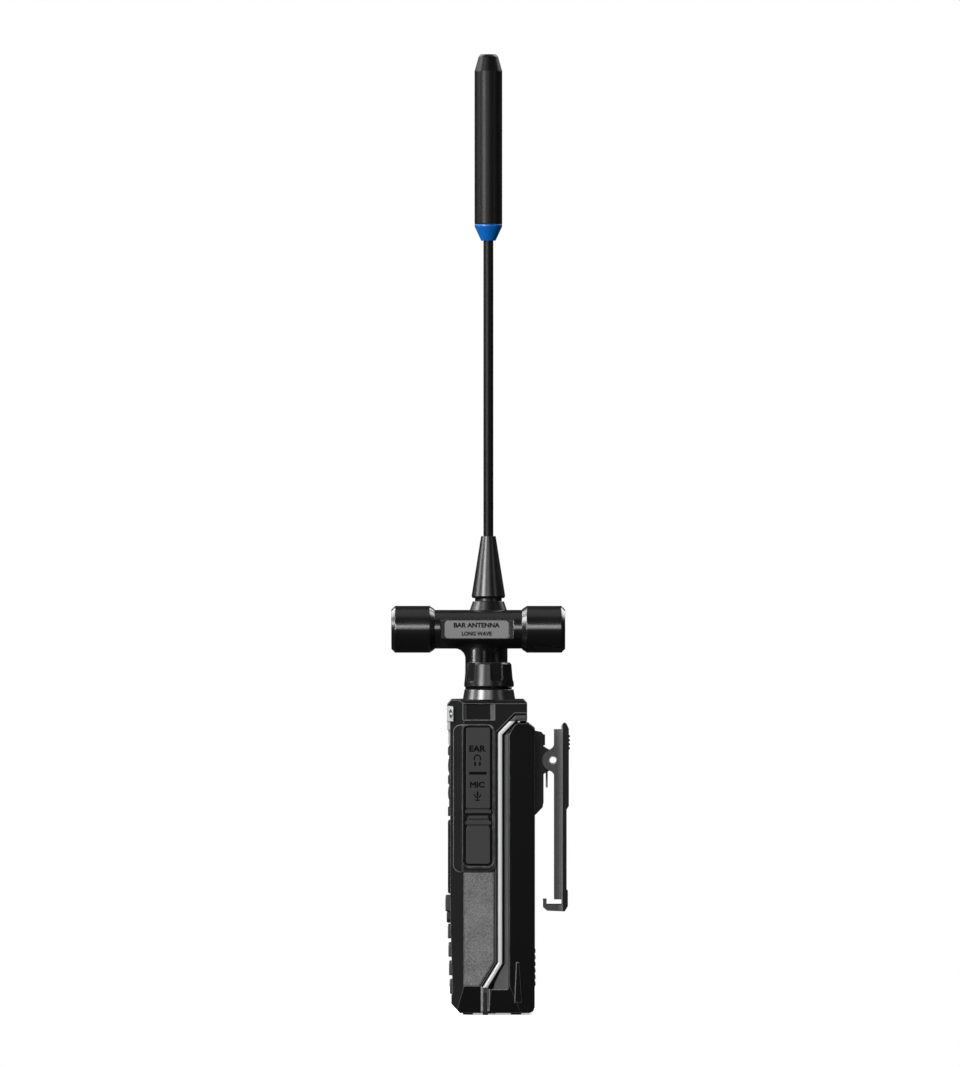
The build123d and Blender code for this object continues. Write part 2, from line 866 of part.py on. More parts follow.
def jack_cover_anchor():
    """Fixed lower half of the rubber cover, with the other two hinge ribs."""
    y = cover_y()
    x = cover_x()
    rib_high = hinge_z() - hinge_rib_gap / 2
    second_high = rib_high - hinge_rib - hinge_rib_gap
    plate_high = second_high - hinge_rib - hinge_rib_gap * 0.8
    plate = rounded_side_plate(y, (cover_z()[0], plate_high), x, 1.2)
    plate = fillet(plate.faces().sort_by(Axis.X)[-1].edges(), cover_edge)
    plate = plate + block((x[0], x[0] + cover_thickness * 0.5), (y[0] + 0.5, y[1] - 0.5),
                          (plate_high - 2, rib_high - hinge_rib / 2))
    plate = plate + block(x, (y[0] + hinge_rib_inset, y[1] - hinge_rib_inset),
                          (rib_high - hinge_rib, rib_high))
    plate = plate + block(x, (y[0] - 0.3, y[1] + 0.3), (second_high - hinge_rib, second_high))
    root_z = (cover_z()[0] + 2 * root_inset, plate_high - root_inset)
    return plate + block((half - pocket_floor, x[0]), (y[0] + root_inset, y[1] - root_inset), root_z)


def ptt_button():
    """Long push-to-talk bar with a flange inside the wall."""
    z = about(top - ptt_drop, ptt_height)
    y = ptt_y()
    bar = block((-half - ptt_proud, -inner_half + slide_gap), y, z)
    bar = fillet(bar.edges().filter_by(Axis.X), ptt_corner)
    bar = fillet(bar.faces().sort_by(Axis.X)[0].edges(), ptt_edge)
    lip = flange_lip
    inner = -inner_half + slide_gap
    flange = block((inner, inner + flange_thickness), (y[0] - lip, y[1] + lip),
                   (z[0] - lip, z[1] + lip))
    return bar + flange


def microphone():
    back = front_y + wall
    return long_bar(microphone_x, back, back + microphone_depth, top - microphone_drop, microphone_radius)


def knob_collar():
    """Fixed skirt under the volume knob."""
    foot, crown = collar_radius
    skirt = turned([(0, top), (foot, top), (crown, top + collar_height), (0, top + collar_height)],
                   knob_x, knob_y)
    return skirt - post(knob_x, knob_y, top - 1, top + collar_height + 1, shaft_radius + bush_wall + seat)


def volume_encoder():
    """Rotary encoder under the deck; its bush comes up through the deck and the collar."""
    body = block(about(knob_x, encoder_size), about(knob_y, encoder_size),
                 (under_deck - encoder_height, under_deck))
    body = body + post(knob_x, knob_y, under_deck, top + collar_height, shaft_radius + bush_wall)
    return body - post(knob_x, knob_y, under_deck - encoder_height / 2, top + collar_height + 1,
                       shaft_radius + running)


def encoder_shaft():
    low = under_deck - encoder_height / 2 + slide_gap
    return post(knob_x, knob_y, low, top + collar_height + knob_gap + shaft_reach, shaft_radius)


def volume_knob():
    """Volume knob with five grip notches cut down from its rim."""
    low = top + collar_height + knob_gap
    high = low + knob_height
    wide, narrow = knob_radius
    foot, brow = knob_foot_edge, knob_top_edge
    profile = [(0, low), (wide - foot, low), (wide, low + foot), (narrow, high - brow),
               (narrow - brow, high), (0, high)]
    knob = turned(profile)
    notch = RectangleRounded(knob_notch_width, 2 * knob_height, knob_notch_corner)
    notch = Plane.YZ * Pos(0, low + knob_notch_bottom + knob_height) * notch
    notch = Pos(narrow - knob_notch_depth, 0, 0) * extrude(notch, 2 * wide)
    for index in range(knob_notches):
        knob = knob - Rot(0, 0, knob_notch_first + index * 360 / knob_notches) * notch
    knob = knob - post(0, 0, low - 1, low + shaft_reach + seat, shaft_radius + seat)
    return Pos(knob_x, knob_y, 0) * knob


def antenna_sockets():
    """Threaded sockets for the two antennas, held under the deck by their flanges."""
    sockets = []
    for x, y in ((whip_x, whip_y), (bar_x, bar_y)):
        socket = post(x, y, under_deck - socket_flange_height, under_deck, socket_flange_radius)
        socket = socket + post(x, y, under_deck, top + socket_height, socket_radius)
        socket = socket - post(x, y, top + socket_height - 6, top + socket_height + 1, socket_radius / 2)
        sockets.append(socket)
    return Compound(children=sockets)


def battery_front():
    return parallel(seam_line(), chassis_thickness + parting)


def battery_plan(lead=0.0):
    """Plan of the battery: sides that lead in towards the seam, then long cuts towards its back."""
    nose = battery_front()[4][0] - 1.0
    back = battery_back_y + 1.0
    rear_x = half - battery_corner_inset * (back - battery_corner_y) / (battery_back_y - battery_corner_y)
    front_x = half - lead * (battery_corner_y - nose)
    right = [(front_x, nose), (half, battery_corner_y), (rear_x, back)]
    return right + [(-x, y) for x, y in reversed(right)]


def cell_half_width():
    return half - battery_corner_inset - wall


def battery_room():
    """(Y, Z) limits of the space for the cells."""
    front = seam_y + chassis_thickness + parting
    return (front, battery_back_y - battery_wall), (kick_top + 1.0, top - seam_top_drop - 2.0)


def battery_case():
    """Battery casing: back, sides, feet, side ribs and the seat for its latch."""
    high = top - battery_top_drop
    run, fall = battery_chamfer
    heel = battery_heel
    line = battery_front()
    outline = [(battery_back_y, line[0][1])] + line[1:5] + [
        (line[5][0], case_bottom),
        (battery_back_y - heel, case_bottom),
        (battery_back_y - heel * 0.3, case_bottom + heel * 0.3),
        (battery_back_y, case_bottom + heel),
    ]
    case = from_side(outline, -half, half)
    ends = case.faces().sort_by(Axis.X)
    case = chamfer(ends[0].edges() + ends[-1].edges(), battery_bevel)
    case = case & from_front(elevation(case_bottom, high), line[5][0] - 1, battery_back_y + 1)
    slope = [(battery_back_y + 1, high + 1), (battery_back_y - run, high + 1), (battery_back_y - run, high),
             (battery_back_y, high - fall), (battery_back_y + 1, high - fall)]
    case = case - from_side(slope, -half - 1, half + 1)
    upper = from_above(battery_plan(battery_lead_slope), battery_lead_bottom, top)
    case = case & (from_above(battery_plan(), 0.0, battery_lead_bottom) + upper)
    y, z = battery_room()
    case = case - block((-cell_half_width(), cell_half_width()), (y[0] - 1, y[1]), z)
    case = case + block((-foot_half_width, foot_half_width), about(rear_foot_y, rear_foot_depth),
                        (0.0, case_bottom + 1))
    rib = [(side_rib_top[0], side_rib_top[2]), (side_rib_top[1], side_rib_top[2]),
           (side_rib_bottom[1], side_rib_bottom[2]), (side_rib_bottom[0], side_rib_bottom[2])]
    ribs = from_side(rib, half - facet_inset - battery_corner_inset, half + 1)
    ribs = ribs & from_front(elevation(case_bottom, high, side_rib_proud), 0, battery_back_y)
    shift = Pos(side_rib_proud, 0, 0)
    ribs = ribs & (shift * from_above(battery_plan(), 0.0, top))
    for piece in mirrored(ribs):
        case = case + piece
    gap = slide_gap
    case = case - block((-latch_half_width - gap, latch_half_width + gap),
                        (latch_front_y - gap, latch_rear_y + gap),
                        (high - latch_height - latch_travel - gap, high + 1))
    return case


def battery_cover():
    """Inner wall of the battery, snapped into the casing, with windows for the contacts."""
    y, z = battery_room()
    reach = cell_half_width() - seat
    cover = block((-reach, reach), (y[0], y[0] + battery_cover_thickness), (z[0] + seat, z[1] - seat))
    for x in contact_places():
        cover = cover - block(about(x, contact_width), (y[0] - 1, y[0] + contact_thickness),
                              about(contact_z, contact_height))
    return cover


def battery_cells():
    """Two flat cells side by side."""
    y, z = battery_room()
    depth = (y[0] + battery_cover_thickness + cell_gap / 2, y[1] - cell_gap / 2)
    height = (z[0] + cell_gap, z[1] - 8.0)
    cell = block((cell_gap / 2, cell_half_width() - cell_gap), depth, height)
    cell = fillet(cell.edges().filter_by(Axis.Z), cell_corner)
    return Compound(children=mirrored(cell))


def battery_contacts():
    """Gold pads on the battery's inner wall."""
    start = battery_room()[0][0]
    pads = [block(about(x, contact_width), (start + seat, start + contact_thickness),
                  about(contact_z, contact_height)) for x in contact_places()]
    return Compound(children=pads)


def battery_terminals():
    """Spring terminals that come through the chassis and bear on the pads."""
    face = seam_y + chassis_thickness
    pins = []
    for x in contact_places():
        pin = block(about(x, contact_width), (seam_y - tongue_depth, face),
                    about(contact_z, contact_height))
        pin = pin + block(about(x, contact_width - 1), (face, face + parting - 0.2), about(contact_z, 2.0))
        pins.append(pin)
    return Compound(children=pins)


def battery_latch():
    """Release button in the battery's top."""
    high = top - battery_top_drop
    button = block((-latch_half_width, latch_half_width), (latch_front_y, latch_rear_y),
                   (high - latch_height, high + latch_proud))
    return chamfer(button.faces().sort_by(Axis.Z)[-1].edges(), latch_edge)


def clip_pin_z():
    return top - clip_pin_drop


def clip_base():
    """Clip base fixed to the battery's back, with a pair of lugs for the pin."""
    high = top - clip_base_top_drop
    low = high - clip_base_height
    face = battery_back_y + clip_base_depth
    inner = clip_half_width - clip_flange - slide_gap
    outline = [(battery_back_y, low), (face - 0.4, low + 3.2), (face, low + 5.2), (face, high - 1.5),
               (face - 0.8, high - 0.6), (battery_back_y, high)]
    base = from_side(outline, -inner, inner)
    z = clip_pin_z()
    reach = clip_lug_half_height
    lug = [(face - 0.5, z - reach), (clip_pin_y, z - clip_lug_radius), (clip_pin_y, z + clip_lug_radius),
           (face - 0.5, z + reach)]
    for x_low in (-inner, inner - clip_lug_width):
        base = base + from_side(lug, x_low, x_low + clip_lug_width)
        base = base + cross_bar(x_low, x_low + clip_lug_width, clip_pin_y, z, clip_lug_radius)
    base = base + block((-inner + 2, inner - 2), (face, face + 0.6), (high - 5.8, high - 1.6))
    return base - cross_bar(-inner - 1, inner + 1, clip_pin_y, z, clip_pin_radius + seat)


def clip_pin():
    """Hollow pin that the lever turns on."""
    reach = clip_half_width
    pin = cross_bar(-reach, reach, clip_pin_y, clip_pin_z(), clip_pin_radius)
    return pin - cross_bar(-reach - 1, reach + 1, clip_pin_y, clip_pin_z(), clip_pin_bore)


def clip_lever():
    """Belt clip: back plate with thumb pad and hook, and two flanges that turn on the pin."""
    high = top - clip_top_drop
    low = high - clip_length
    inside, back = clip_flange_y[1], clip_back_y
    pad_low = top - clip_pad_bottom_drop
    floor = low + clip_hook_floor
    outline = [
        (inside, high - 1.2),
        (inside + 1.0, high),
        (back, high - 0.4),
        (clip_pad_y, high - 2.4),
        (clip_pad_y, pad_low + 1.4),
        (back, pad_low),
        (back, low + clip_toe_height + 0.6),
        (clip_toe_y, low + clip_toe_height),
        (clip_toe_y, low + 2.1),
        (clip_toe_y - 1.3, low),
        (clip_hook_y[0] + 1.6, low + 0.3),
        (clip_hook_y[0], low + 1.7),
        (clip_hook_y[0], low + clip_hook_height),
        (clip_hook_y[1], low + clip_hook_height),
        (clip_hook_y[1], floor),
        (inside, floor),
    ]
    lever = from_side(outline, -clip_half_width, clip_half_width)
    for index in range(clip_ribs):
        z = top - clip_rib_first_drop - index * clip_rib_pitch
        lever = lever + cross_bar(-clip_half_width + 2, clip_half_width - 2, clip_pad_y, z, clip_rib_radius)
    z = clip_pin_z()
    flange_low = low + clip_hook_height
    flange_high = top - clip_flange_top_drop
    inner_edge = clip_flange_y[0]
    strip = Pos((inner_edge + inside + 0.2) / 2, (flange_low + flange_high) / 2) * Rectangle(
        inside + 0.2 - inner_edge, flange_high - flange_low)
    side = strip + Pos(clip_pin_y, z) * Circle(clip_ear_radius)
    half_chord = math.sqrt(clip_ear_radius ** 2 - (inner_edge - clip_pin_y) ** 2)
    notch = [v for v in side.vertices()
             if abs(v.X - inner_edge) < 0.01 and abs(abs(v.Y - z) - half_chord) < 0.01]
    side = fillet(notch, clip_ear_blend)
    flange = Pos(clip_half_width - clip_flange, 0, 0) * extrude(Plane.YZ * side, clip_flange)
    flange = flange - cross_bar(0, 2 * clip_half_width, clip_pin_y, z, clip_pin_radius + running)
    for piece in mirrored(flange):
        lever = lever + piece
    return lever


def clip_spring():
    """Torsion spring round the pin, one leg on the base and one on the lever."""
    z = clip_pin_z()
    reach = clip_spring_half
    wire = clip_spring_wire
    bore = clip_pin_radius + clip_spring_gap
    radius = bore + wire
    coil = cross_bar(-reach, reach, clip_pin_y, z, radius)
    low = z - clip_spring_leg
    coil = coil + block((-reach, -reach + wire), (clip_pin_y - radius, clip_pin_y - radius + wire),
                        (low, z))
    coil = coil + block((reach - wire, reach), (clip_pin_y + radius - wire, clip_pin_y + radius), (low, z))
    return coil - cross_bar(-reach - 1, reach + 1, clip_pin_y, z, bore)


def whip_base():
    """Lower body of the whip, which screws down over its socket."""
    low = top + slide_gap
    profile = [(0, low), (whip_base_radius - 0.3, low), (whip_base_radius, low + 0.3),
               (whip_base_radius, top + whip_base_height), (whip_shoulder[0], top + whip_shoulder[1]),
               (whip_neck[0], top + whip_neck[1]), (0, top + whip_neck[1])]
    body = turned(profile, whip_x, whip_y)
    body = body - post(whip_x, whip_y, top, top + socket_height + slide_gap, socket_radius + running)
    return body - post(whip_x, whip_y, top + whip_rod_start, top + whip_neck[1] + 1, whip_rod_radius + seat)


def whip_boot():
    """Flexible tapering boot."""
    joint, groove, tip = top + whip_neck[1], top + whip_groove[1], top + whip_boot_tip[1]
    profile = [(0, joint), (whip_groove[0], joint), (whip_groove[0], groove),
               (whip_boot_foot[0] - whip_foot_edge, groove),
               (whip_boot_foot[0], top + whip_boot_foot[1]), (whip_boot_tip[0], tip), (0, tip)]
    return turned(profile, whip_x, whip_y) - whip_bore()


def whip_bore():
    return post(whip_x, whip_y, top, top + whip_top - whip_rod_cover, whip_rod_radius + seat)


def whip_rod():
    low, high = top + whip_rod_start + seat, top + whip_top - whip_rod_cover - seat
    return post(whip_x, whip_y, low, high, whip_rod_radius)


def whip_ring():
    """Coloured ring that flares from the rod to the sleeve."""
    low = top + whip_ring_start
    high = top + whip_sleeve_start
    radius = whip_sleeve_radius
    brow, edge = whip_ring_brow, whip_ring_edge
    profile = [(0, low), (whip_ring_small, low), (radius, high - brow), (radius, high - edge),
               (radius - edge, high), (0, high)]
    return turned(profile, whip_x, whip_y) - whip_bore()


def whip_top_load():
    """Moulded sleeve over the loading coil at the whip's tip."""
    radius = whip_sleeve_radius
    high = top + whip_top
    tip = whip_tip_radius
    low, taper = top + whip_sleeve_start, top + whip_taper_start
    profile = [(0, low), (radius, low), (radius, taper), (tip, high - whip_tip_round), (tip - whip_tip_round, high), (0, high)]
    return turned(profile, whip_x, whip_y) - whip_bore()


def bar_z():
    return top + bar_rise


def bar_housing():
    """Bar antenna's body: the tube that holds the rod and the neck that plugs in."""
    z = bar_z()
    reach = bar_half_length - bar_cap_wall
    tube = long_bar(bar_x, bar_y - reach, bar_y + reach, z, bar_radius)
    neck = post(bar_x, bar_y, top + slide_gap, z, bar_neck_radius)
    body = tube + neck
    joint = body.edges().filter_by(GeomType.BSPLINE).group_by(SortBy.LENGTH)[-1]
    body = fillet(joint, bar_fillet)
    body = body - long_bar(bar_x, bar_y - reach - 1, bar_y + reach + 1, z, bar_bore)
    body = body - block((bar_x + bar_flat, bar_x + bar_radius + 1), bar_flat_y, about(z, 2 * bar_radius))
    seat_x = (bar_x + bar_flat - label_thickness, bar_x + bar_radius + 1)
    body = body - rounded_side_plate(about(label_y, label_length), about(z, label_height), seat_x,
                                     label_corner)
    return body - post(bar_x, bar_y, top, top + socket_height + slide_gap, socket_radius + running)


def bar_end_caps():
    """Caps over both ends of the bar."""
    radius = bar_cap_radius
    bore = bar_radius + seat
    length = bar_cap_length + bar_cap_taper
    profile = [(0, 0), (radius - bar_cap_chamfer, 0), (radius, bar_cap_chamfer), (radius, bar_cap_length),
               (bore + 0.25, length), (bore, length), (bore, bar_cap_wall), (0, bar_cap_wall)]
    cap = turned(profile)
    front = Pos(bar_x, bar_y - bar_half_length, bar_z()) * Rot(-90, 0, 0) * cap
    rear = Pos(bar_x, bar_y + bar_half_length, bar_z()) * Rot(90, 0, 0) * cap
    return Compound(children=[front, rear])


def bar_label_plate():
    thickness = (bar_x + bar_flat - label_thickness, bar_x + bar_flat)
    length = label_length - 2 * label_fit
    height = label_height - 2 * label_fit
    return rounded_side_plate(about(label_y, length), about(bar_z(), height), thickness,
                              label_corner - label_fit)


def bar_ferrite():
    reach = bar_half_length - bar_cap_wall
    return long_bar(bar_x, bar_y - reach, bar_y + reach, bar_z(), ferrite_radius)


def bar_coil():
    reach = coil_half_length
    outer = long_bar(bar_x, bar_y - reach, bar_y + reach, bar_z(), coil_radius[1])
    return outer - long_bar(bar_x, bar_y - reach - 1, bar_y + reach + 1, bar_z(), coil_radius[0])


def all_parts():
    """Every piece of the radio by name."""
    makers = (
        front_shell, chassis, grip_panels, front_trim, speaker_grille, grille_trim, speaker_driver,
        display_bezel, display_window, lcd_module, keypad_trim, keypad_board, main_board, shell_screws,
        accessory_jacks, jack_cover_flap, jack_cover_anchor, ptt_button, microphone, knob_collar,
        volume_encoder, encoder_shaft, volume_knob, antenna_sockets, battery_case, battery_cover,
        battery_cells, battery_contacts, battery_terminals, battery_latch, clip_base, clip_pin,
        clip_lever, clip_spring, whip_base, whip_boot, whip_rod, whip_ring, whip_top_load, bar_housing,
        bar_end_caps, bar_label_plate, bar_ferrite, bar_coil,
    )
    parts = {maker.__name__: maker() for maker in makers}
    for name, x, z in digit_places():
        parts[name] = key(x, z, digit_width, digit_height, digit_proud)
    for name, x, z in function_places():
        parts[name] = key(x, z, function_width, function_height, function_proud)
    return parts


os.makedirs("parts", exist_ok=True)
for name, solid in all_parts().items():
    export_step(solid, "parts/" + name + ".step")
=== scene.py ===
import math

import bmesh
import bpy
from mathutils import Matrix, Vector


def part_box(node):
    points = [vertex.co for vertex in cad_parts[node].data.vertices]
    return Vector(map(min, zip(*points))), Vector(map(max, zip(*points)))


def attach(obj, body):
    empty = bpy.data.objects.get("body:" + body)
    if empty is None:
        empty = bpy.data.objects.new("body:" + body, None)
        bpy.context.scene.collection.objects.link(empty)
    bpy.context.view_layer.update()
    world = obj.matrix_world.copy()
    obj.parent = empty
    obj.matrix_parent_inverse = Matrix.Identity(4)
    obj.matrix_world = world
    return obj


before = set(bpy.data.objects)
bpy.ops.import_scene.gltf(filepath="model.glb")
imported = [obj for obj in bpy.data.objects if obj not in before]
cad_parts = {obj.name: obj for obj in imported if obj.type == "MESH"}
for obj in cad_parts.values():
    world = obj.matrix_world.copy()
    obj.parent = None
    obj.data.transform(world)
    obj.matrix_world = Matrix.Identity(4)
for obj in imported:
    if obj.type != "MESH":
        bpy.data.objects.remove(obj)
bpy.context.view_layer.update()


# ---- Front shell ------------------------------------------------------------------------------
# The front moulding of the radio, in black glass-filled nylon with a fine satin grain, screwed
# to the alloy chassis. Its lip and the walls of the strap channel at its top are painted lighter,
# as painted highlights.
mm = 0.001


class Wire:
    """A socket inside a material. Arithmetic on it adds the Math nodes."""

    def __init__(self, tree, socket=None):
        self.tree = tree
        self.socket = socket

    def node(self, kind, settings=None, values=None, out=0):
        made = self.tree.nodes.new("ShaderNode" + kind)
        for key, value in (settings or {}).items():
            setattr(made, key, value)
        for key, value in (values or {}).items():
            if isinstance(value, Wire):
                self.tree.links.new(value.socket, made.inputs[key])
            else:
                made.inputs[key].default_value = value
        return Wire(self.tree, made.outputs[out])

    def math(self, operation, first, second=0.0, clamp=False):
        settings = {"operation": operation, "use_clamp": clamp}
        return self.node("Math", settings, {0: first, 1: second})

    def __add__(self, other):
        return self.math("ADD", self, other)

    __radd__ = __add__

    def __sub__(self, other):
        return self.math("SUBTRACT", self, other)

    def __rsub__(self, other):
        return self.math("SUBTRACT", other, self)

    def __mul__(self, other):
        return self.math("MULTIPLY", self, other)

    __rmul__ = __mul__

    def __gt__(self, other):
        return self.math("GREATER_THAN", self, other)

    def __lt__(self, other):
        return self.math("LESS_THAN", self, other)

    def __abs__(self):
        return self.math("ABSOLUTE", self)

    def least(self, other):
        """The smaller of the two."""
        return self.math("MINIMUM", self, other)

    def most(self, other):
        """The larger of the two."""
        return self.math("MAXIMUM", self, other)

    def within(self, low, high):
        """1 between the two values and 0 outside them."""
        return (self > low) * (self < high)

    def wave(self, pitch):
        """A sine wave with this distance from crest to crest."""
        return self.math("SINE", self * (2 * math.pi / pitch))

    def held(self):
        """The same value kept between 0 and 1."""
        return self.math("ADD", self, 0.0, clamp=True)

    def parts(self):
        """The three numbers of a vector."""
        return [self.node("SeparateXYZ", values={0: self}, out=i) for i in range(3)]

    def speckle(self, size, detail=3.0, roughness=0.55):
        """Soft noise whose lumps are about this size, in metres."""
        values = {"Vector": self, "Scale": 1 / size, "Detail": detail, "Roughness": roughness}
        return self.node("TexNoise", {"noise_dimensions": "3D"}, values)

    def blend(self, low, high):
        """A colour between two, by this value; each is a grey, an (r, g, b) or another colour."""
        settings = {"data_type": "RGBA", "clamp_factor": True}
        return self.node("Mix", settings, {0: self, 6: paint(low), 7: paint(high)}, out=2)


def paint(colour):
    """A colour from a grey level, an (r, g, b) or a socket that already is one."""
    if isinstance(colour, Wire):
        return colour
    if isinstance(colour, (int, float)):
        return (colour, colour, colour, 1.0)
    return (*colour, 1.0)


def new_material(name, **uniform):
    """A node material: its shader, and the Object coordinates that its patterns follow."""
    made = bpy.data.materials.new(name)
    made.use_nodes = True
    tree = made.node_tree
    shader = tree.nodes["Principled BSDF"]
    for key, value in uniform.items():
        shader.inputs[key.replace("_", " ")].default_value = value
    return made, shader, Wire(tree).node("TexCoord", out=3)


def join(shader, name, wire):
    """Feeds a value or colour to one of the shader's sockets."""
    wire.tree.links.new(wire.socket, shader.inputs[name])


def soften(place, height, depth, edge):
    """The surface normal with rounded edges and a bump of this depth over them."""
    round_edge = place.node("Bevel", {"samples": 6}, {"Radius": edge})
    values = {"Strength": 1.0, "Distance": depth, "Height": height, "Normal": round_edge}
    return place.node("Bump", values=values), round_edge


def edge_mask(place, round_edge, gain):
    """1 along sharp edges and 0 on flat faces."""
    flat = place.node("NewGeometry", out=1)
    same = place.node("VectorMath", {"operation": "DOT_PRODUCT"}, {0: round_edge, 1: flat}, out=1)
    return ((1.0 - same) * gain).held()


COLOUR_DRIFT, EDGE_PATCH = 14 * mm, 3 * mm


def moulded(name, colour, rough, grain=0.35 * mm, depth=0.012 * mm, edge=0.25 * mm, spread=0.25,
            wear=0.35, edge_wear_and_sheen_tone=0.08, gain=4.0, painted_highlight=None, highlight_tone=0.0, **uniform):
    """Moulded plastic or rubber: grain, slow colour drift, uneven gloss, edges paler where worn
    and as a painted highlight.

    It is painted lighter, as a highlight, where the given highlight mask is 1.
    """
    made, shader, place = new_material(name, **uniform)
    fine = place.speckle(grain)
    slow = place.speckle(COLOUR_DRIFT, 2.0)
    normal, round_edge = soften(place, fine, depth, edge)
    # Sharp edges are painted paler: partly worn edges, partly a painted highlight along them.
    patches = (place.speckle(EDGE_PATCH) * 1.4).held()
    rubbed_and_lit = edge_mask(place, round_edge, gain) * patches * wear
    low = [c * (1 - spread) for c in colour]
    high = [c * (1 + spread) for c in colour]
    tone = (fine * 0.6 + slow * 0.4).blend(low, high)
    tone = rubbed_and_lit.blend(tone, [c + edge_wear_and_sheen_tone for c in colour])
    if painted_highlight:
        tone = (painted_highlight(place) * (slow * 0.6 + 0.5)).blend(tone, highlight_tone)
    join(shader, "Base Color", tone)
    join(shader, "Roughness", rough + (fine - 0.5) * 0.12 + (slow - 0.5) * 0.1 - rubbed_and_lit * 0.1)
    join(shader, "Normal", normal)
    return made


def dress(finish, *nodes):
    """Gives one finish to CAD nodes."""
    for node in nodes:
        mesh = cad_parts[node].data
        mesh.materials.clear()
        mesh.materials.append(finish)


# The seam between the two mouldings, seen from the side: level at the shoulder, sloping to the
# long upright, and kicked forward near the foot.
SHOULDER_END, SHOULDER_Y, SHOULDER_TOP = 14.0 * mm, 9.3 * mm, 119.6 * mm
SEAM_Y, SEAM_TOP = 2.3 * mm, 112.4 * mm
KICK_Y, KICK_TOP, KICK_FOOT = -3.7 * mm, 21.0 * mm, 11.2 * mm
SEAM_FOOT = 0.9 * mm
SHOULDER_SLOPE = (0.717, 0.697)
KICK_SLOPE = (0.853, 0.522)


def behind_seam(place):
    """How far a point lies behind the seam, measured square to it."""
    _, depth, height = place.parts()
    upright = depth - SEAM_Y
    kick = upright * KICK_SLOPE[0] - (height - KICK_TOP) * KICK_SLOPE[1]
    shoulder = upright * SHOULDER_SLOPE[0] - (height - SEAM_TOP) * SHOULDER_SLOPE[1]
    below = upright.most(kick).least(depth - KICK_Y)
    above = shoulder.least(SHOULDER_TOP - height)
    return below.least(above)


LIP_WIDTH, LIP_FOOT, LIP_SIDE = 1.0 * mm, 11 * mm, 28.6 * mm
CHANNEL_FRONT, CHANNEL_REAR = (-11.8 * mm, -10.4 * mm), (-0.6 * mm, 1.3 * mm)
CHANNEL_HEIGHTS, CHANNEL_SIDE = (117.6 * mm, 123.9 * mm), 27.4 * mm


def shell_facets(place):
    """The chamfer along the seam and the sloping walls of the strap channel at the top, painted
    lighter as a highlight.
    """
    beside, depth, height = place.parts()
    lip = (behind_seam(place) > -LIP_WIDTH) * (height > LIP_FOOT)
    walls = depth.within(*CHANNEL_FRONT) + depth.within(*CHANNEL_REAR)
    walls = walls * height.within(*CHANNEL_HEIGHTS)
    return (lip * (abs(beside) > LIP_SIDE) + walls * (abs(beside) > CHANNEL_SIDE)).held()


# On the case and battery the pale edge lines are mostly a painted highlight along the chamfers,
# with some worn edges.
CASE_GRAIN = {"grain": 0.3 * mm, "depth": 0.006 * mm, "edge": 0.4 * mm, "wear": 0.9,
              "gain": 12.0, "Specular_IOR_Level": 0.14}
CASE_TONE, CASE_SPREAD, CASE_EDGE_HIGHLIGHT = 0.00515, 0.262, 0.295
shell_black = moulded("shell_black", (CASE_TONE,) * 3, 0.36, spread=CASE_SPREAD,
                      edge_wear_and_sheen_tone=CASE_EDGE_HIGHLIGHT, painted_highlight=shell_facets, highlight_tone=0.1, **CASE_GRAIN)
dress(shell_black, "front_shell")


# ---- Grip panels ------------------------------------------------------------------------------
# Grey elastomer panels let into both sides of the shell below the jack cover.
# They have a coarse moulded grain for the hand.
grip_grey, grip_shader, place = new_material("grip_grey", Specular_IOR_Level=0.3)
grain = place.speckle(0.75 * mm, 5.0, 0.7)
patches = place.speckle(7 * mm, 2.0)
grit = ((grain - 0.5) * 3.2 + 0.5 + (patches - 0.5) * 0.9).held()
normal, _ = soften(place, grain, 0.09 * mm, 0.3 * mm)
join(grip_shader, "Base Color", grit.blend((0.075, 0.075, 0.076), (0.2, 0.2, 0.202)))
join(grip_shader, "Roughness", 0.62 + (grain - 0.5) * 0.3)
join(grip_shader, "Normal", normal)
dress(grip_grey, "grip_panels")


# ---- Chassis ----------------------------------------------------------------------------------
# The die-cast alloy frame inside the radio. Its edge shows as a bright band between the two
# mouldings;
# elsewhere it is painted dark as shade, and dark strips in the seams beside it are painted shade.
BAND_WIDTH = 0.45 * mm
BAND_FOOT, BAND_TOP, BAND_DEPTH = 11 * mm, 117 * mm, 1.7 * mm
chassis_metal, chassis_shader, place = new_material("chassis_metal", Metallic=0.2)
beside, _, height = place.parts()
band = abs(beside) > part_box("chassis")[1].x - BAND_WIDTH
bright_strip = height.within(BAND_FOOT, BAND_TOP) * band * (behind_seam(place) < BAND_DEPTH)
cast = place.speckle(0.15 * mm)
normal, _ = soften(place, cast, 0.003 * mm, 0.5 * mm)
# The strip is bright metal; inside the seams the metal is painted near black, and the band above
# and below the strip dark grey, both as painted shade.
tone = bright_strip.blend(band.blend(0.012, 0.055), cast.blend(0.52, 0.6))
join(chassis_shader, "Base Color", tone)
join(chassis_shader, "Roughness", 0.36 + (cast - 0.5) * 0.1 + (1.0 - band) * 0.2)
join(chassis_shader, "Normal", normal)
dress(chassis_metal, "chassis")


def piece(name, made, finish, body):
    """Makes a finished mesh an object that moves with a body and takes a slot's finish."""
    mesh = bpy.data.meshes.new(name)
    for face in made.faces:
        face.smooth = False
    made.to_mesh(mesh)
    made.free()
    mesh.materials.append(finish)
    thing = bpy.data.objects.new(name, mesh)
    bpy.context.collection.objects.link(thing)
    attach(thing, body)
    return thing


def only(kind, made):
    """The items of one kind that an operator made."""
    return [item for item in made["geom"] if isinstance(item, kind)]


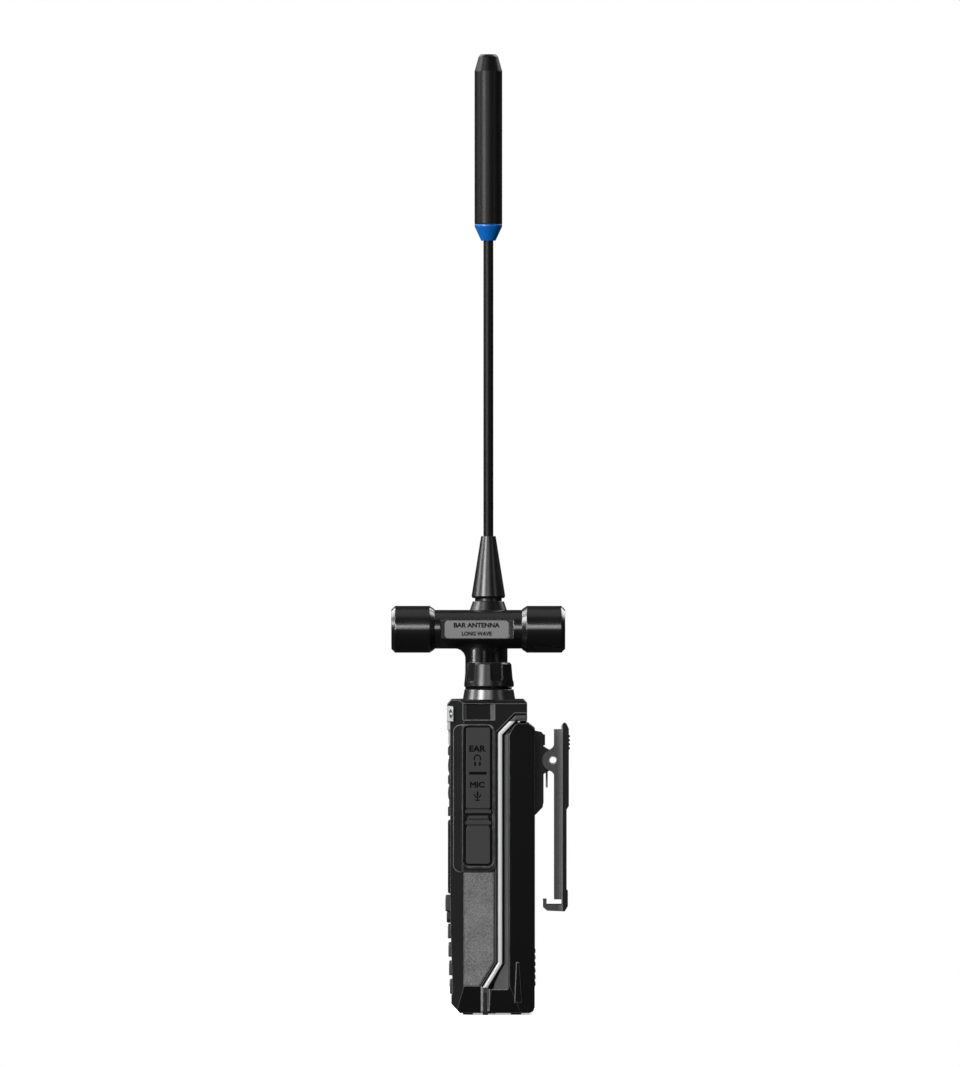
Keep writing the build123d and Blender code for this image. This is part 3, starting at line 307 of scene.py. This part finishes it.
def seam_shade_route(gap):
    """The seam's corners from the shoulder down to the foot, moved back by this gap."""
    return [(SHOULDER_END, SHOULDER_TOP - gap), (SHOULDER_Y + 0.42 * gap, SHOULDER_TOP - gap),
            (SEAM_Y + gap, SEAM_TOP - 0.41 * gap), (SEAM_Y + gap, KICK_TOP - 0.28 * gap),
            (KICK_Y + gap, KICK_FOOT - 0.28 * gap), (KICK_Y + gap, SEAM_FOOT)]


# Dark strips in both seams, as painted shade inside the gaps.
SEAM_SHADE_X, SEAM_SHADE_WIDTH = 28.9 * mm, 0.7 * mm
seam_shade_black = moulded("seam_shade_black", (0.006, 0.006, 0.006), 0.6, Specular_IOR_Level=0.1)
for seam_name, near, far in (("front", -0.55 * mm, -0.05 * mm), ("battery", 2.15 * mm, 2.65 * mm)):
    seam_shade = bmesh.new()
    for side in (-1, 1):
        first, second = ([seam_shade.verts.new((side * SEAM_SHADE_X, y, z)) for y, z in seam_shade_route(gap)]
                         for gap in (near, far))
        strip = [seam_shade.faces.new((first[i], first[i + 1], second[i + 1], second[i]))
                 for i in range(len(first) - 1)]
        inner = bmesh.ops.extrude_face_region(seam_shade, geom=strip)
        bmesh.ops.translate(seam_shade, verts=only(bmesh.types.BMVert, inner),
                            vec=(-side * SEAM_SHADE_WIDTH, 0, 0))
    bmesh.ops.recalc_face_normals(seam_shade, faces=seam_shade.faces)
    piece(f"{seam_name}_seal", seam_shade, seam_shade_black, "case")


# ---- Boards and fittings inside the case ------------------------------------------------------
# Circuit boards, screws, jacks, microphone and antenna sockets, which show only with the
# covers off.
def metal(name, colour, rough):
    """Bare or plated metal with fine scratches."""
    made, shader, place = new_material(name, Metallic=1.0)
    scratch = place.speckle(0.25 * mm, 4.0)
    slow = place.speckle(9 * mm, 2.0)
    normal, _ = soften(place, scratch, 0.004 * mm, 0.2 * mm)
    low = [c * 0.88 for c in colour]
    join(shader, "Base Color", (scratch * 0.5 + slow * 0.5).blend(low, colour))
    join(shader, "Roughness", rough + (scratch - 0.5) * 0.2 + (slow - 0.5) * 0.15)
    join(shader, "Normal", normal)
    return made


board_green = moulded("board_green", (0.012, 0.09, 0.035), 0.35)
plated_steel = metal("plated_steel", (0.6, 0.6, 0.61), 0.28)
jack_black = moulded("jack_black", (0.012, 0.012, 0.012), 0.3)
dress(board_green, "keypad_board", "main_board")
dress(plated_steel, "shell_screws", "antenna_sockets")
dress(jack_black, "accessory_jacks", "microphone")


# ---- Loudspeaker and grille -------------------------------------------------------------------
# A black slotted plate clipped in front of the loudspeaker, with a black moulded surround. A
# woven cloth behind the plate keeps the dust out.
grille_black = moulded("grille_black", (0.008, 0.008, 0.009), 0.4)
dress(plated_steel, "speaker_driver")
dress(grille_black, "speaker_grille", "grille_trim")

CLOTH_GAP, CLOTH_THICKNESS = 0.12 * mm, 0.1 * mm
CLOTH_THREAD = 0.7 * mm
cloth_black, cloth_shader, place = new_material("cloth_black")
sideways, _, height = place.parts()
weave = (sideways.wave(CLOTH_THREAD) * height.wave(CLOTH_THREAD) * 0.5 + 0.5).held()
normal = place.node("Bump", values={"Strength": 1.0, "Distance": 0.1 * mm, "Height": weave})
join(cloth_shader, "Base Color", weave.blend(0.004, 0.03))
join(cloth_shader, "Roughness", 0.75 + (place.speckle(2 * mm) - 0.5) * 0.2)
join(cloth_shader, "Normal", normal)
grille_low, grille_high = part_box("speaker_grille")
grille_middle, grille_size = (grille_low + grille_high) / 2, grille_high - grille_low
cloth = bmesh.new()
bmesh.ops.create_grid(cloth, x_segments=24, y_segments=18, size=0.5)
bmesh.ops.transform(cloth, verts=cloth.verts, matrix=Matrix.Translation(
    (grille_middle.x, grille_high.y + CLOTH_GAP, grille_middle.z))
    @ Matrix.Rotation(math.pi / 2, 4, "X") @ Matrix.Diagonal((grille_size.x, grille_size.z, 1, 1)))
bmesh.ops.solidify(cloth, geom=cloth.faces[:], thickness=CLOTH_THICKNESS)
bmesh.ops.recalc_face_normals(cloth, faces=cloth.faces)
piece("speaker_cloth", cloth, cloth_black, "case")


# ---- Front trim -------------------------------------------------------------------------------
# A silver painted cap over the top of the front, held by a screw in a small oval well at each end.
WELL_PLACE = Vector((27.7, -16.34, 119.95)) * mm
WELL_FACING = (0.819, -0.575)
WELL_HALF_SIZE = (0.95, 2.1)
WELL_RISE, WELL_RIM, WELL_STEP, WELL_DEPTH = 0.3 * mm, 0.22 * mm, 0.05 * mm, 0.26 * mm
SCREW_RADII, SCREW_HEIGHT, SCREW_RISE = (0.55 * mm, 0.42 * mm), 0.2 * mm, 0.12 * mm
UP = Vector((0, 0, 1))


def standing(across):
    """A turn that stands flat marks up on a face whose text reads along this direction."""
    return Matrix((across, UP, across.cross(UP))).transposed().to_4x4()


trim_silver = moulded("trim_silver", (0.52, 0.53, 0.54), 0.34, grain=0.12 * mm, depth=0.003 * mm,
                      spread=0.1, wear=0.2, Metallic=0.45)
# The floor of each well is painted dark, as shade in the recess.
well_shade = moulded("well_shade", (0.02, 0.02, 0.021), 0.5, spread=0.2, wear=0.0)
dress(trim_silver, "front_trim")
for end, side in (("left", -1), ("right", 1)):
    well = bmesh.new()
    bmesh.ops.create_circle(well, cap_ends=True, segments=40, radius=1 * mm)
    bmesh.ops.scale(well, verts=well.verts, vec=(*WELL_HALF_SIZE, 1))
    rise = bmesh.ops.extrude_face_region(well, geom=well.faces[:])
    bmesh.ops.translate(well, verts=only(bmesh.types.BMVert, rise), vec=(0, 0, WELL_RISE))
    cap = only(bmesh.types.BMFace, rise)
    bmesh.ops.inset_region(well, faces=cap, thickness=WELL_RIM, depth=0)
    bmesh.ops.inset_region(well, faces=cap, thickness=WELL_STEP, depth=-WELL_DEPTH)
    for face in cap:
        face.material_index = 1
    bmesh.ops.create_cone(well, cap_ends=True, segments=24, radius1=SCREW_RADII[0],
                          radius2=SCREW_RADII[1], depth=SCREW_HEIGHT,
                          matrix=Matrix.Translation((0, 0, SCREW_RISE)))
    bmesh.ops.recalc_face_normals(well, faces=well.faces)
    outward = Vector((side * WELL_FACING[0], WELL_FACING[1], 0))
    seat = Matrix.Translation((side * WELL_PLACE.x, WELL_PLACE.y, WELL_PLACE.z))
    bmesh.ops.transform(well, verts=well.verts, matrix=seat @ standing(UP.cross(outward)))
    made = piece(f"{end}_trim_well", well, trim_silver, "case")
    made.data.materials.append(well_shade)


# ---- Display ----------------------------------------------------------------------------------
# A liquid crystal panel behind a clear window in a glossy black bezel. It shows a channel, a
# frequency and a row of level bars.
INK_THICKNESS, WORD_BOLDNESS = 0.06 * mm, 0.04
FRONT_ACROSS = Vector((1, 0, 0))


def add_word(marks, text, u, v, width, height):
    """A word centred at (u, v), stretched to this width and height."""
    curve = bpy.data.curves.new("word", "FONT")
    curve.body = text
    curve.extrude = 0.5
    curve.bevel_depth = WORD_BOLDNESS
    curve.bevel_resolution = 0
    curve.resolution_u = 4
    draft = bpy.data.objects.new("word", curve)
    bpy.context.collection.objects.link(draft)
    bpy.context.view_layer.update()
    shown = draft.evaluated_get(bpy.context.evaluated_depsgraph_get())
    mesh = bpy.data.meshes.new_from_object(shown)
    bpy.data.objects.remove(draft)
    xs = [vert.co.x for vert in mesh.vertices]
    ys = [vert.co.y for vert in mesh.vertices]
    middle = Matrix.Translation((-(min(xs) + max(xs)) / 2, -(min(ys) + max(ys)) / 2, 0))
    sizes = (width / (max(xs) - min(xs)), height / (max(ys) - min(ys)), INK_THICKNESS, 1)
    mesh.transform(Matrix.Translation((u, v, 0)) @ Matrix.Diagonal(sizes) @ middle)
    marks.from_mesh(mesh)
    bpy.data.meshes.remove(mesh)


def add_bar(marks, u, v, width, height, thickness=INK_THICKNESS):
    """A filled rectangle centred at (u, v)."""
    sizes = Matrix.Diagonal((width, height, thickness, 1))
    place = Matrix.Translation((u, v, 0)) @ sizes
    return bmesh.ops.create_cube(marks, size=1, matrix=place)["verts"]


def print_on(name, marks, ink, body, origin, across):
    """Stands the marks on a face at origin, as one thin solid piece that rides on a body."""
    bmesh.ops.recalc_face_normals(marks, faces=marks.faces)
    place = Matrix.Translation(origin) @ standing(across)
    bmesh.ops.transform(marks, matrix=place, verts=marks.verts)
    return piece(name, marks, ink, body)


bezel_black = moulded("bezel_black", (0.006, 0.006, 0.007), 0.16, depth=0.002 * mm, spread=0.1)
window_clear = moulded("window_clear", (0.05, 0.055, 0.05), 0.06, depth=0.001 * mm, spread=0.05,
                       Alpha=0.16)
lcd_grey = moulded("lcd_grey", (0.3, 0.34, 0.28), 0.3, spread=0.06)
ink_lcd = moulded("ink_lcd", (0.02, 0.025, 0.022), 0.4, spread=0.1, wear=0.0)
dress(bezel_black, "display_bezel")
dress(window_clear, "display_window")
dress(lcd_grey, "lcd_module")
window_low, window_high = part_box("display_window")
screen_face = (window_low + window_high) / 2
screen_face.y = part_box("lcd_module")[0].y
readout = bmesh.new()
add_word(readout, "145.500", 0, 2.6 * mm, 27 * mm, 6.0 * mm)
add_word(readout, "CH 01", -11.5 * mm, 7.9 * mm, 8 * mm, 1.8 * mm)
add_word(readout, "SCAN", 11.5 * mm, 7.9 * mm, 7 * mm, 1.8 * mm)
LEVEL_BARS, LEVEL_START, LEVEL_STEP = 12, -13 * mm, 2.1 * mm
LEVEL_FOOT, LEVEL_WIDTH, LEVEL_HEIGHT, LEVEL_GROWTH = -6.1 * mm, 1.2 * mm, 1.4 * mm, 0.22 * mm
for step in range(LEVEL_BARS):
    tall = LEVEL_HEIGHT + step * LEVEL_GROWTH
    add_bar(readout, LEVEL_START + step * LEVEL_STEP, LEVEL_FOOT + tall / 2, LEVEL_WIDTH, tall)
print_on("display_readout", readout, ink_lcd, "case", screen_face, FRONT_ACROSS)


# ---- Keys -------------------------------------------------------------------------------------
# Twelve digit keys and four function keys in soft rubber, which stand through the shell. Each
# has its figure, word or arrow printed in white, over a clear hard coat.
key_rubber = moulded("key_rubber", (0.02, 0.02, 0.022), 0.5, edge=0.4 * mm)
ink_key = moulded("ink_key", (0.6, 0.6, 0.6), 0.45, depth=0.003 * mm, spread=0.06, wear=0.0)
KEYS = ["menu_key", "up_key", "down_key", "exit_key", "key_star", "key_0", "key_hash"]
KEYS += [f"key_{digit}" for digit in range(1, 10)]
FIGURE_WIDTH, NARROW_WIDTH, FIGURE_HEIGHT = 1.7 * mm, 0.9 * mm, 2.7 * mm
LABEL_WIDTH, LABEL_HEIGHT = 5.6 * mm, 1.7 * mm
STAR_LENGTH, STAR_STROKE = 2.0 * mm, 0.35 * mm
HASH_STEP, HASH_STROKE, HASH_HEIGHT, HASH_WIDTH = 0.45 * mm, 0.3 * mm, 2.3 * mm, 2.1 * mm
ARROW_RADIUS = 1.35 * mm
dress(grille_black, "keypad_trim")
dress(key_rubber, *KEYS)
for key in KEYS:
    low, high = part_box(key)
    key_face = Vector(((low.x + high.x) / 2, low.y, (low.z + high.z) / 2))
    marks = bmesh.new()
    sign = key.replace("key_", "").replace("_key", "")
    if sign.isdigit():
        add_word(marks, sign, 0, 0, NARROW_WIDTH if sign == "1" else FIGURE_WIDTH, FIGURE_HEIGHT)
    elif sign in ("menu", "exit"):
        add_word(marks, sign.upper(), 0, 0, LABEL_WIDTH, LABEL_HEIGHT)
    elif sign == "star":
        for turn in (0, 60, 120):
            ray = add_bar(marks, 0, 0, STAR_STROKE, STAR_LENGTH)
            bmesh.ops.rotate(marks, verts=ray, matrix=Matrix.Rotation(math.radians(turn), 3, "Z"))
    elif sign == "hash":
        for step in (-HASH_STEP, HASH_STEP):
            add_bar(marks, step, 0, HASH_STROKE, HASH_HEIGHT)
            add_bar(marks, 0, step, HASH_WIDTH, HASH_STROKE)
    else:
        tilt = Matrix.Rotation(math.radians(0 if sign == "up" else 180), 4, "Z")
        bmesh.ops.create_cone(marks, cap_ends=True, segments=3, radius1=ARROW_RADIUS,
                              radius2=ARROW_RADIUS, depth=INK_THICKNESS, matrix=tilt)
    print_on(f"{key}_mark", marks, ink_key, f"{key}_cap", key_face, FRONT_ACROSS)


# ---- Talk button ------------------------------------------------------------------------------
# A rubber button on the side away from the jacks, with two groups of three raised bars that the
# thumb can find.
ptt_rubber = moulded("ptt_rubber", (0.03, 0.03, 0.032), 0.58, edge=0.4 * mm)
dress(ptt_rubber, "ptt_button")
RIDGE_WIDTH, RIDGE_HEIGHT, RIDGE_THICKNESS, RIDGE_EDGE = 4.6 * mm, 0.7 * mm, 0.5 * mm, 0.18 * mm
RIDGE_SUNK = 0.23 * mm


def round_bars(bars, edge, segments=3):
    """Rounds every edge of the bars."""
    bmesh.ops.bevel(bars, geom=bars.edges[:], offset=edge, segments=segments, profile=0.5,
                    affect="EDGES", material=-1)


talk_low, talk_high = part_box("ptt_button")
talk_face = (talk_low + talk_high) / 2
talk_face.x = talk_low.x + RIDGE_SUNK
ridges = bmesh.new()
for step in (-8, -6, -4, 4, 6, 8):
    add_bar(ridges, 0, step * mm, RIDGE_WIDTH, RIDGE_HEIGHT, RIDGE_THICKNESS)
round_bars(ridges, RIDGE_EDGE)
print_on("talk_ridges", ridges, ptt_rubber, "ptt", talk_face, Vector((0, -1, 0)))


# ---- Jack cover -------------------------------------------------------------------------------
# A soft rubber flap over the two accessory jacks. Its anchor is pressed into the shell. Printed
# marks say which jack is which: a word and a small picture for each.
cover_rubber = moulded("cover_rubber", (0.034, 0.034, 0.035), 0.6, grain=0.28 * mm,
                       depth=0.014 * mm, edge=0.3 * mm, spread=0.18, edge_wear_and_sheen_tone=0.05,
                       Specular_IOR_Level=0.2)
dress(cover_rubber, "jack_cover_flap", "jack_cover_anchor")
RIGHT_ACROSS = Vector((0, 1, 0))
ARC_STEP = 12


def add_arc(marks, u, v, radius, start, sweep, width):
    """A curved bar round (u, v), from one angle through another, in degrees."""
    sizes = Matrix.Diagonal((width, 1, INK_THICKNESS, 1))
    place = Matrix.Translation((u + radius, v, 0)) @ sizes @ Matrix.Rotation(math.pi / 2, 4, "X")
    made = bmesh.ops.create_grid(marks, x_segments=1, y_segments=1, size=0.5, matrix=place)
    bmesh.ops.rotate(marks, verts=made["verts"], cent=(u, v, 0),
                     matrix=Matrix.Rotation(math.radians(start), 3, "Z"))
    faces = list({face for vert in made["verts"] for face in vert.link_faces})
    geometry = faces + list({e for f in faces for e in f.edges}) + made["verts"]
    bmesh.ops.spin(marks, geom=geometry, cent=(u, v, 0), axis=(0, 0, 1),
                   angle=math.radians(sweep), steps=max(6, int(abs(sweep) / ARC_STEP)))


ink_black = moulded("ink_black", (0.0025, 0.0025, 0.0025), 0.6, spread=0.2, wear=0.0,
                    Specular_IOR_Level=0.05)
flap_low, flap_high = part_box("jack_cover_flap")
flap_face = Vector((flap_high.x, (flap_low.y + flap_high.y) / 2, 0))
legends = bmesh.new()
add_word(legends, "EAR", -0.3 * mm, 106.2 * mm, 6.6 * mm, 2.5 * mm)
add_word(legends, "MIC", -0.4 * mm, 91.8 * mm, 5.8 * mm, 2.4 * mm)
HEADBAND = (-0.35, 102.4, 1.2, -10, 200, 0.5)
MICROPHONE_CUP = (-0.3, 88.0, 1.25, 180, 180, 0.42)
for u, v, radius, start, sweep, width in (HEADBAND, MICROPHONE_CUP):
    add_arc(legends, u * mm, v * mm, radius * mm, start, sweep, width * mm)
EARPHONES = [(-1.55, 101.9, 0.5, 0.9), (-1.3, 100.1, 0.75, 1.5),
             (0.85, 101.9, 0.5, 0.9), (0.6, 100.1, 0.75, 1.5)]
DIVIDING_BAR = [(-0.15, 96.4, 7.0, 1.15)]
MICROPHONE = [(-0.3, 88.2, 0.7, 1.9), (-0.3, 86.2, 0.42, 1.1), (-0.3, 85.6, 1.9, 0.42)]
for u, v, width, height in EARPHONES + DIVIDING_BAR + MICROPHONE:
    add_bar(legends, u * mm, v * mm, width * mm, height * mm)
print_on("jack_legends", legends, ink_black, "jack_cover", flap_face, RIGHT_ACROSS)


# ---- Battery ----------------------------------------------------------------------------------
# The rear moulding, which holds the cells and slides off backwards when its latch is pressed. It
# is the same black nylon as the shell. Rows of shallow bars low on its back give a grip.
FACET_DEPTH, FACET_FOOT, FACET_SIDE = 6.5 * mm, 10.3 * mm, 28 * mm


def battery_facets(place):
    """The long facet that leads the battery's side in towards the seam, painted lighter as a
    highlight.
    """
    beside, depth, height = place.parts()
    return (depth < FACET_DEPTH) * (height > FACET_FOOT) * (abs(beside) > FACET_SIDE)


# The battery's leading facet is painted lighter, as a painted highlight.
battery_black = moulded("battery_black", (CASE_TONE,) * 3, 0.36, spread=CASE_SPREAD,
                        edge_wear_and_sheen_tone=CASE_EDGE_HIGHLIGHT, painted_highlight=battery_facets, highlight_tone=0.065,
                        **CASE_GRAIN)
case_black = moulded("case_black", (0.005, 0.005, 0.0054), 0.36, edge_wear_and_sheen_tone=0.16, **CASE_GRAIN)
cell_wrap = moulded("cell_wrap", (0.03, 0.1, 0.3), 0.3)
contact_brass = metal("contact_brass", (0.82, 0.62, 0.3), 0.25)
dress(battery_black, "battery_case")
dress(case_black, "battery_cover")
dress(cell_wrap, "battery_cells")
dress(contact_brass, "battery_contacts", "battery_terminals")
dress(jack_black, "battery_latch")

GRIP_BARS, GRIP_FOOT, GRIP_STEP = 6, 12 * mm, 2.6 * mm
GRIP_WIDTH, GRIP_TAPER, GRIP_HEIGHT = 34 * mm, 2 * mm, 1.1 * mm
GRIP_THICKNESS, GRIP_EDGE, GRIP_RISE = 0.5 * mm, 0.2 * mm, 0.05 * mm
back_face = Vector((0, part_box("battery_case")[1].y + GRIP_RISE, 0))
bars = bmesh.new()
for step in range(GRIP_BARS):
    add_bar(bars, 0, GRIP_FOOT + step * GRIP_STEP, GRIP_WIDTH - step * GRIP_TAPER, GRIP_HEIGHT,
            GRIP_THICKNESS)
round_bars(bars, GRIP_EDGE)
print_on("battery_grip_bars", bars, case_black, "battery", back_face,
         Vector((-1, 0, 0)))


# ---- Belt clip --------------------------------------------------------------------------------
# A lever that turns on a hollow steel pin against a spring, on a base screwed to the battery.
# Both are black nylon. The lever's cheeks are rougher, and painted grey as painted light.
LEVER_BACK = 2.9 * mm
clip_black = moulded("clip_black", (0.009, 0.009, 0.0095), 0.46, edge=0.4 * mm)
lever_black, lever_shader, place = new_material("lever_black", Specular_IOR_Level=0.2)
cheek = place.parts()[1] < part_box("clip_lever")[1].y - LEVER_BACK
fine = place.speckle(0.3 * mm)
normal, _ = soften(place, fine, 0.03 * mm, 0.4 * mm)
back_tone = fine.blend(0.007, 0.011)
# The cheeks are painted grey to stand in for light that the lamps don't give them.
cheek_light = ((fine - 0.5) * 2.5 + 0.5).held().blend(0.18, 0.38)
join(lever_shader, "Base Color", cheek.blend(back_tone, cheek_light))
join(lever_shader, "Roughness", 0.46 + cheek * 0.2 + (fine - 0.5) * 0.1)
join(lever_shader, "Normal", normal)
dress(clip_black, "clip_base")
dress(lever_black, "clip_lever")
dress(plated_steel, "clip_pin", "clip_spring")


# ---- Volume control ---------------------------------------------------------------------------
# A turned knob with five finger notches over a fixed collar, both in black plastic, on the shaft
# of a rotary encoder. A white line moulded into the top of the knob shows where it is set.
knob_black = moulded("knob_black", (0.005, 0.005, 0.0055), 0.3, depth=0.004 * mm,
                     edge=0.5 * mm, gain=8.0, Specular_IOR_Level=0.35)
collar_black = moulded("collar_black", (0.006, 0.006, 0.0065), 0.3, grain=0.4 * mm,
                       depth=0.008 * mm, edge=0.4 * mm, Specular_IOR_Level=1.0)
ink_white = moulded("ink_white", (0.62, 0.62, 0.6), 0.5, depth=0.004 * mm, spread=0.08, wear=0.0)
dress(knob_black, "volume_knob")
dress(collar_black, "knob_collar")
dress(plated_steel, "volume_encoder", "encoder_shaft")

POINTER_WIDTH, POINTER_LENGTH, POINTER_EDGE = 0.7 * mm, 3.6 * mm, 0.02 * mm
POINTER_INSET = 4.4 * mm
knob_low, knob_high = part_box("volume_knob")
knob_middle = (knob_low + knob_high) / 2
pointer = bmesh.new()
add_bar(pointer, 0, 0, POINTER_WIDTH, POINTER_LENGTH)
round_bars(pointer, POINTER_EDGE, segments=2)
bmesh.ops.translate(pointer, verts=pointer.verts,
                    vec=(knob_middle.x, knob_low.y + POINTER_INSET, knob_high.z))
piece("knob_pointer", pointer, ink_white, "volume")

# A dark matt ring under the knob fills the slit above the collar, as painted shade in the gap.
SHADE_RING_BORE, SHADE_RING_RADIUS, SHADE_RING_GAP, SHADE_RING_SIDES = 4.4 * mm, 9.1 * mm, 0.1 * mm, 64
slit_shade_black = moulded("slit_shade_black", (0.004, 0.004, 0.004), 0.9, depth=0.02 * mm, wear=0.0,
                       Specular_IOR_Level=0.05)
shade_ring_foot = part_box("knob_collar")[1].z + SHADE_RING_GAP
shade_ring_top = knob_low.z - SHADE_RING_GAP
slit_shade = bmesh.new()
rings = []
for radius, level in ((SHADE_RING_BORE, shade_ring_foot), (SHADE_RING_RADIUS, shade_ring_foot),
                      (SHADE_RING_RADIUS, shade_ring_top), (SHADE_RING_BORE, shade_ring_top)):
    turns = [2 * math.pi * i / SHADE_RING_SIDES for i in range(SHADE_RING_SIDES)]
    rings.append([slit_shade.verts.new((knob_middle.x + radius * math.cos(turn),
                                    knob_middle.y + radius * math.sin(turn), level))
                  for turn in turns])
for ring, after in zip(rings, rings[1:] + rings[:1]):
    for i in range(SHADE_RING_SIDES):
        j = (i + 1) % SHADE_RING_SIDES
        slit_shade.faces.new((ring[i], ring[j], after[j], after[i]))
bmesh.ops.recalc_face_normals(slit_shade, faces=slit_shade.faces)
piece("knob_slit_shade", slit_shade, slit_shade_black, "volume")


# ---- Bar antenna ------------------------------------------------------------------------------
# A ferrite rod and its copper coil inside a black moulded tube with two screwed caps. The
# printed label plate lies in a recess of the tube.
antenna_black = moulded("antenna_black", (0.004, 0.004, 0.0045), 0.24, depth=0.002 * mm,
                        edge=0.5 * mm, wear=0.1, Specular_IOR_Level=0.8)
label_grey = moulded("label_grey", (0.17, 0.17, 0.172), 0.4, spread=0.08, wear=0.1)
ferrite = moulded("ferrite", (0.03, 0.03, 0.032), 0.55)
coil_copper = metal("coil_copper", (0.85, 0.42, 0.25), 0.3)
dress(antenna_black, "bar_housing", "bar_end_caps")
dress(label_grey, "bar_label_plate")
dress(ferrite, "bar_ferrite")
dress(coil_copper, "bar_coil")

plate_low, plate_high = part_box("bar_label_plate")
plate_face = (plate_low + plate_high) / 2
plate_face.x = plate_high.x
words = bmesh.new()
add_word(words, "BAR ANTENNA", 0, 1.7 * mm, 18.4 * mm, 1.95 * mm)
add_word(words, "LONG WAVE", 0, -1.7 * mm, 12.0 * mm, 1.7 * mm)
print_on("bar_label_words", words, ink_black, "bar", plate_face, RIGHT_ACROSS)


# ---- Whip antenna -----------------------------------------------------------------------------
# A rubber boot over a sprung rod with a loading coil in a sleeve at its top. A blue ring marks
# the sleeve's lower end.
boot_rubber = moulded("boot_rubber", (0.004, 0.004, 0.0045), 0.3, depth=0.004 * mm, wear=0.1)
rod_black = moulded("rod_black", (0.004, 0.004, 0.0045), 0.36, depth=0.004 * mm, wear=0.1,
                    Specular_IOR_Level=0.15)
load_black = moulded("load_black", (0.004, 0.004, 0.0045), 0.38, depth=0.004 * mm,
                     edge=0.5 * mm, wear=0.1, Specular_IOR_Level=0.18)
ring_blue = moulded("ring_blue", (0.001, 0.095, 0.36), 0.35, spread=0.1, wear=0.1)
dress(boot_rubber, "whip_boot", "whip_base")
dress(rod_black, "whip_rod")
dress(load_black, "whip_top_load")
dress(ring_blue, "whip_ring")


# ---- Studio -----------------------------------------------------------------------------------
# A plain pale floor and a tall soft box to the left of the camera, with weaker lights round
# the other sides.
FLOOR_RADIUS, FLOOR_PATCH = 0.42, 60 * mm
disc = bmesh.new()
bmesh.ops.create_circle(disc, cap_ends=True, segments=96, radius=FLOOR_RADIUS)
floor_data = bpy.data.meshes.new("floor")
disc.to_mesh(floor_data)
disc.free()
floor = bpy.data.objects.new("floor", floor_data)
bpy.context.collection.objects.link(floor)
floor_white, floor_shader, place = new_material("floor_white", Roughness=0.9,
                                                Emission_Strength=0.5)
join(floor_shader, "Base Color", place.speckle(FLOOR_PATCH).blend(0.9, 0.94))
join(floor_shader, "Emission Color", place.speckle(FLOOR_PATCH).blend(0.97, 1.0))
floor.visible_glossy = False
floor.visible_diffuse = False
floor_data.materials.append(floor_white)

LIT_POINT = Vector((0, 0, 0.16))


def soft_light(name, azimuth, elevation, distance, size, watts):
    """An area light at this bearing from the object, turned to face it."""
    a, e = math.radians(azimuth), math.radians(elevation)
    away = Vector((math.sin(a) * math.cos(e), -math.cos(a) * math.cos(e), math.sin(e)))
    data = bpy.data.lights.new(name, "AREA")
    data.shape = "RECTANGLE"
    data.size, data.size_y = size
    data.energy = watts
    lamp = bpy.data.objects.new(name, data)
    lamp.location = LIT_POINT + away * distance
    lamp.rotation_mode = "QUATERNION"
    lamp.rotation_quaternion = (-away).to_track_quat("-Z", "Y")
    bpy.context.collection.objects.link(lamp)


soft_light("key_light", 53, 15, 1.6, (0.45, 0.85), 29)
soft_light("bar_light", 88, 14, 1.8, (0.6, 0.36), 5)
soft_light("top_light", 90, 88, 1.8, (1.6, 1.6), 3)
soft_light("right_fill", 142, 12, 1.8, (0.3, 1.0), 2)
soft_light("front_light", 4, 28, 1.8, (0.6, 1.0), 27)
soft_light("back_light", 222, 40, 2.4, (1.6, 1.6), 50)
soft_light("left_light", 318, 40, 2.4, (1.6, 1.6), 50)

# The sky is white where the camera sees it and nearly black where it would light the radio.
world = bpy.data.worlds.new("studio")
bpy.context.scene.world = world
world.use_nodes = True
sky = world.node_tree
seen = Wire(sky).node("LightPath")
sky.links.new(seen.blend(0.03, 1.0).socket, sky.nodes["Background"].inputs["Color"])

CAMERA_AIM, CAMERA_DISTANCE = Vector((0.0, -4.8 * mm, 191.8 * mm)), 7.11
camera = bpy.data.cameras.new("camera")
camera.sensor_fit = "AUTO"
camera.sensor_width = 36
camera.lens = 600
camera.clip_end = 100
eye = bpy.data.objects.new("camera", camera)
eye.location = CAMERA_AIM + Vector((CAMERA_DISTANCE, 0, 0))
eye.rotation_euler = (math.radians(90), 0, math.radians(90))
bpy.context.collection.objects.link(eye)
bpy.context.scene.camera = eye
bpy.context.scene.view_settings.view_transform = "Standard"

bpy.context.view_layer.update()
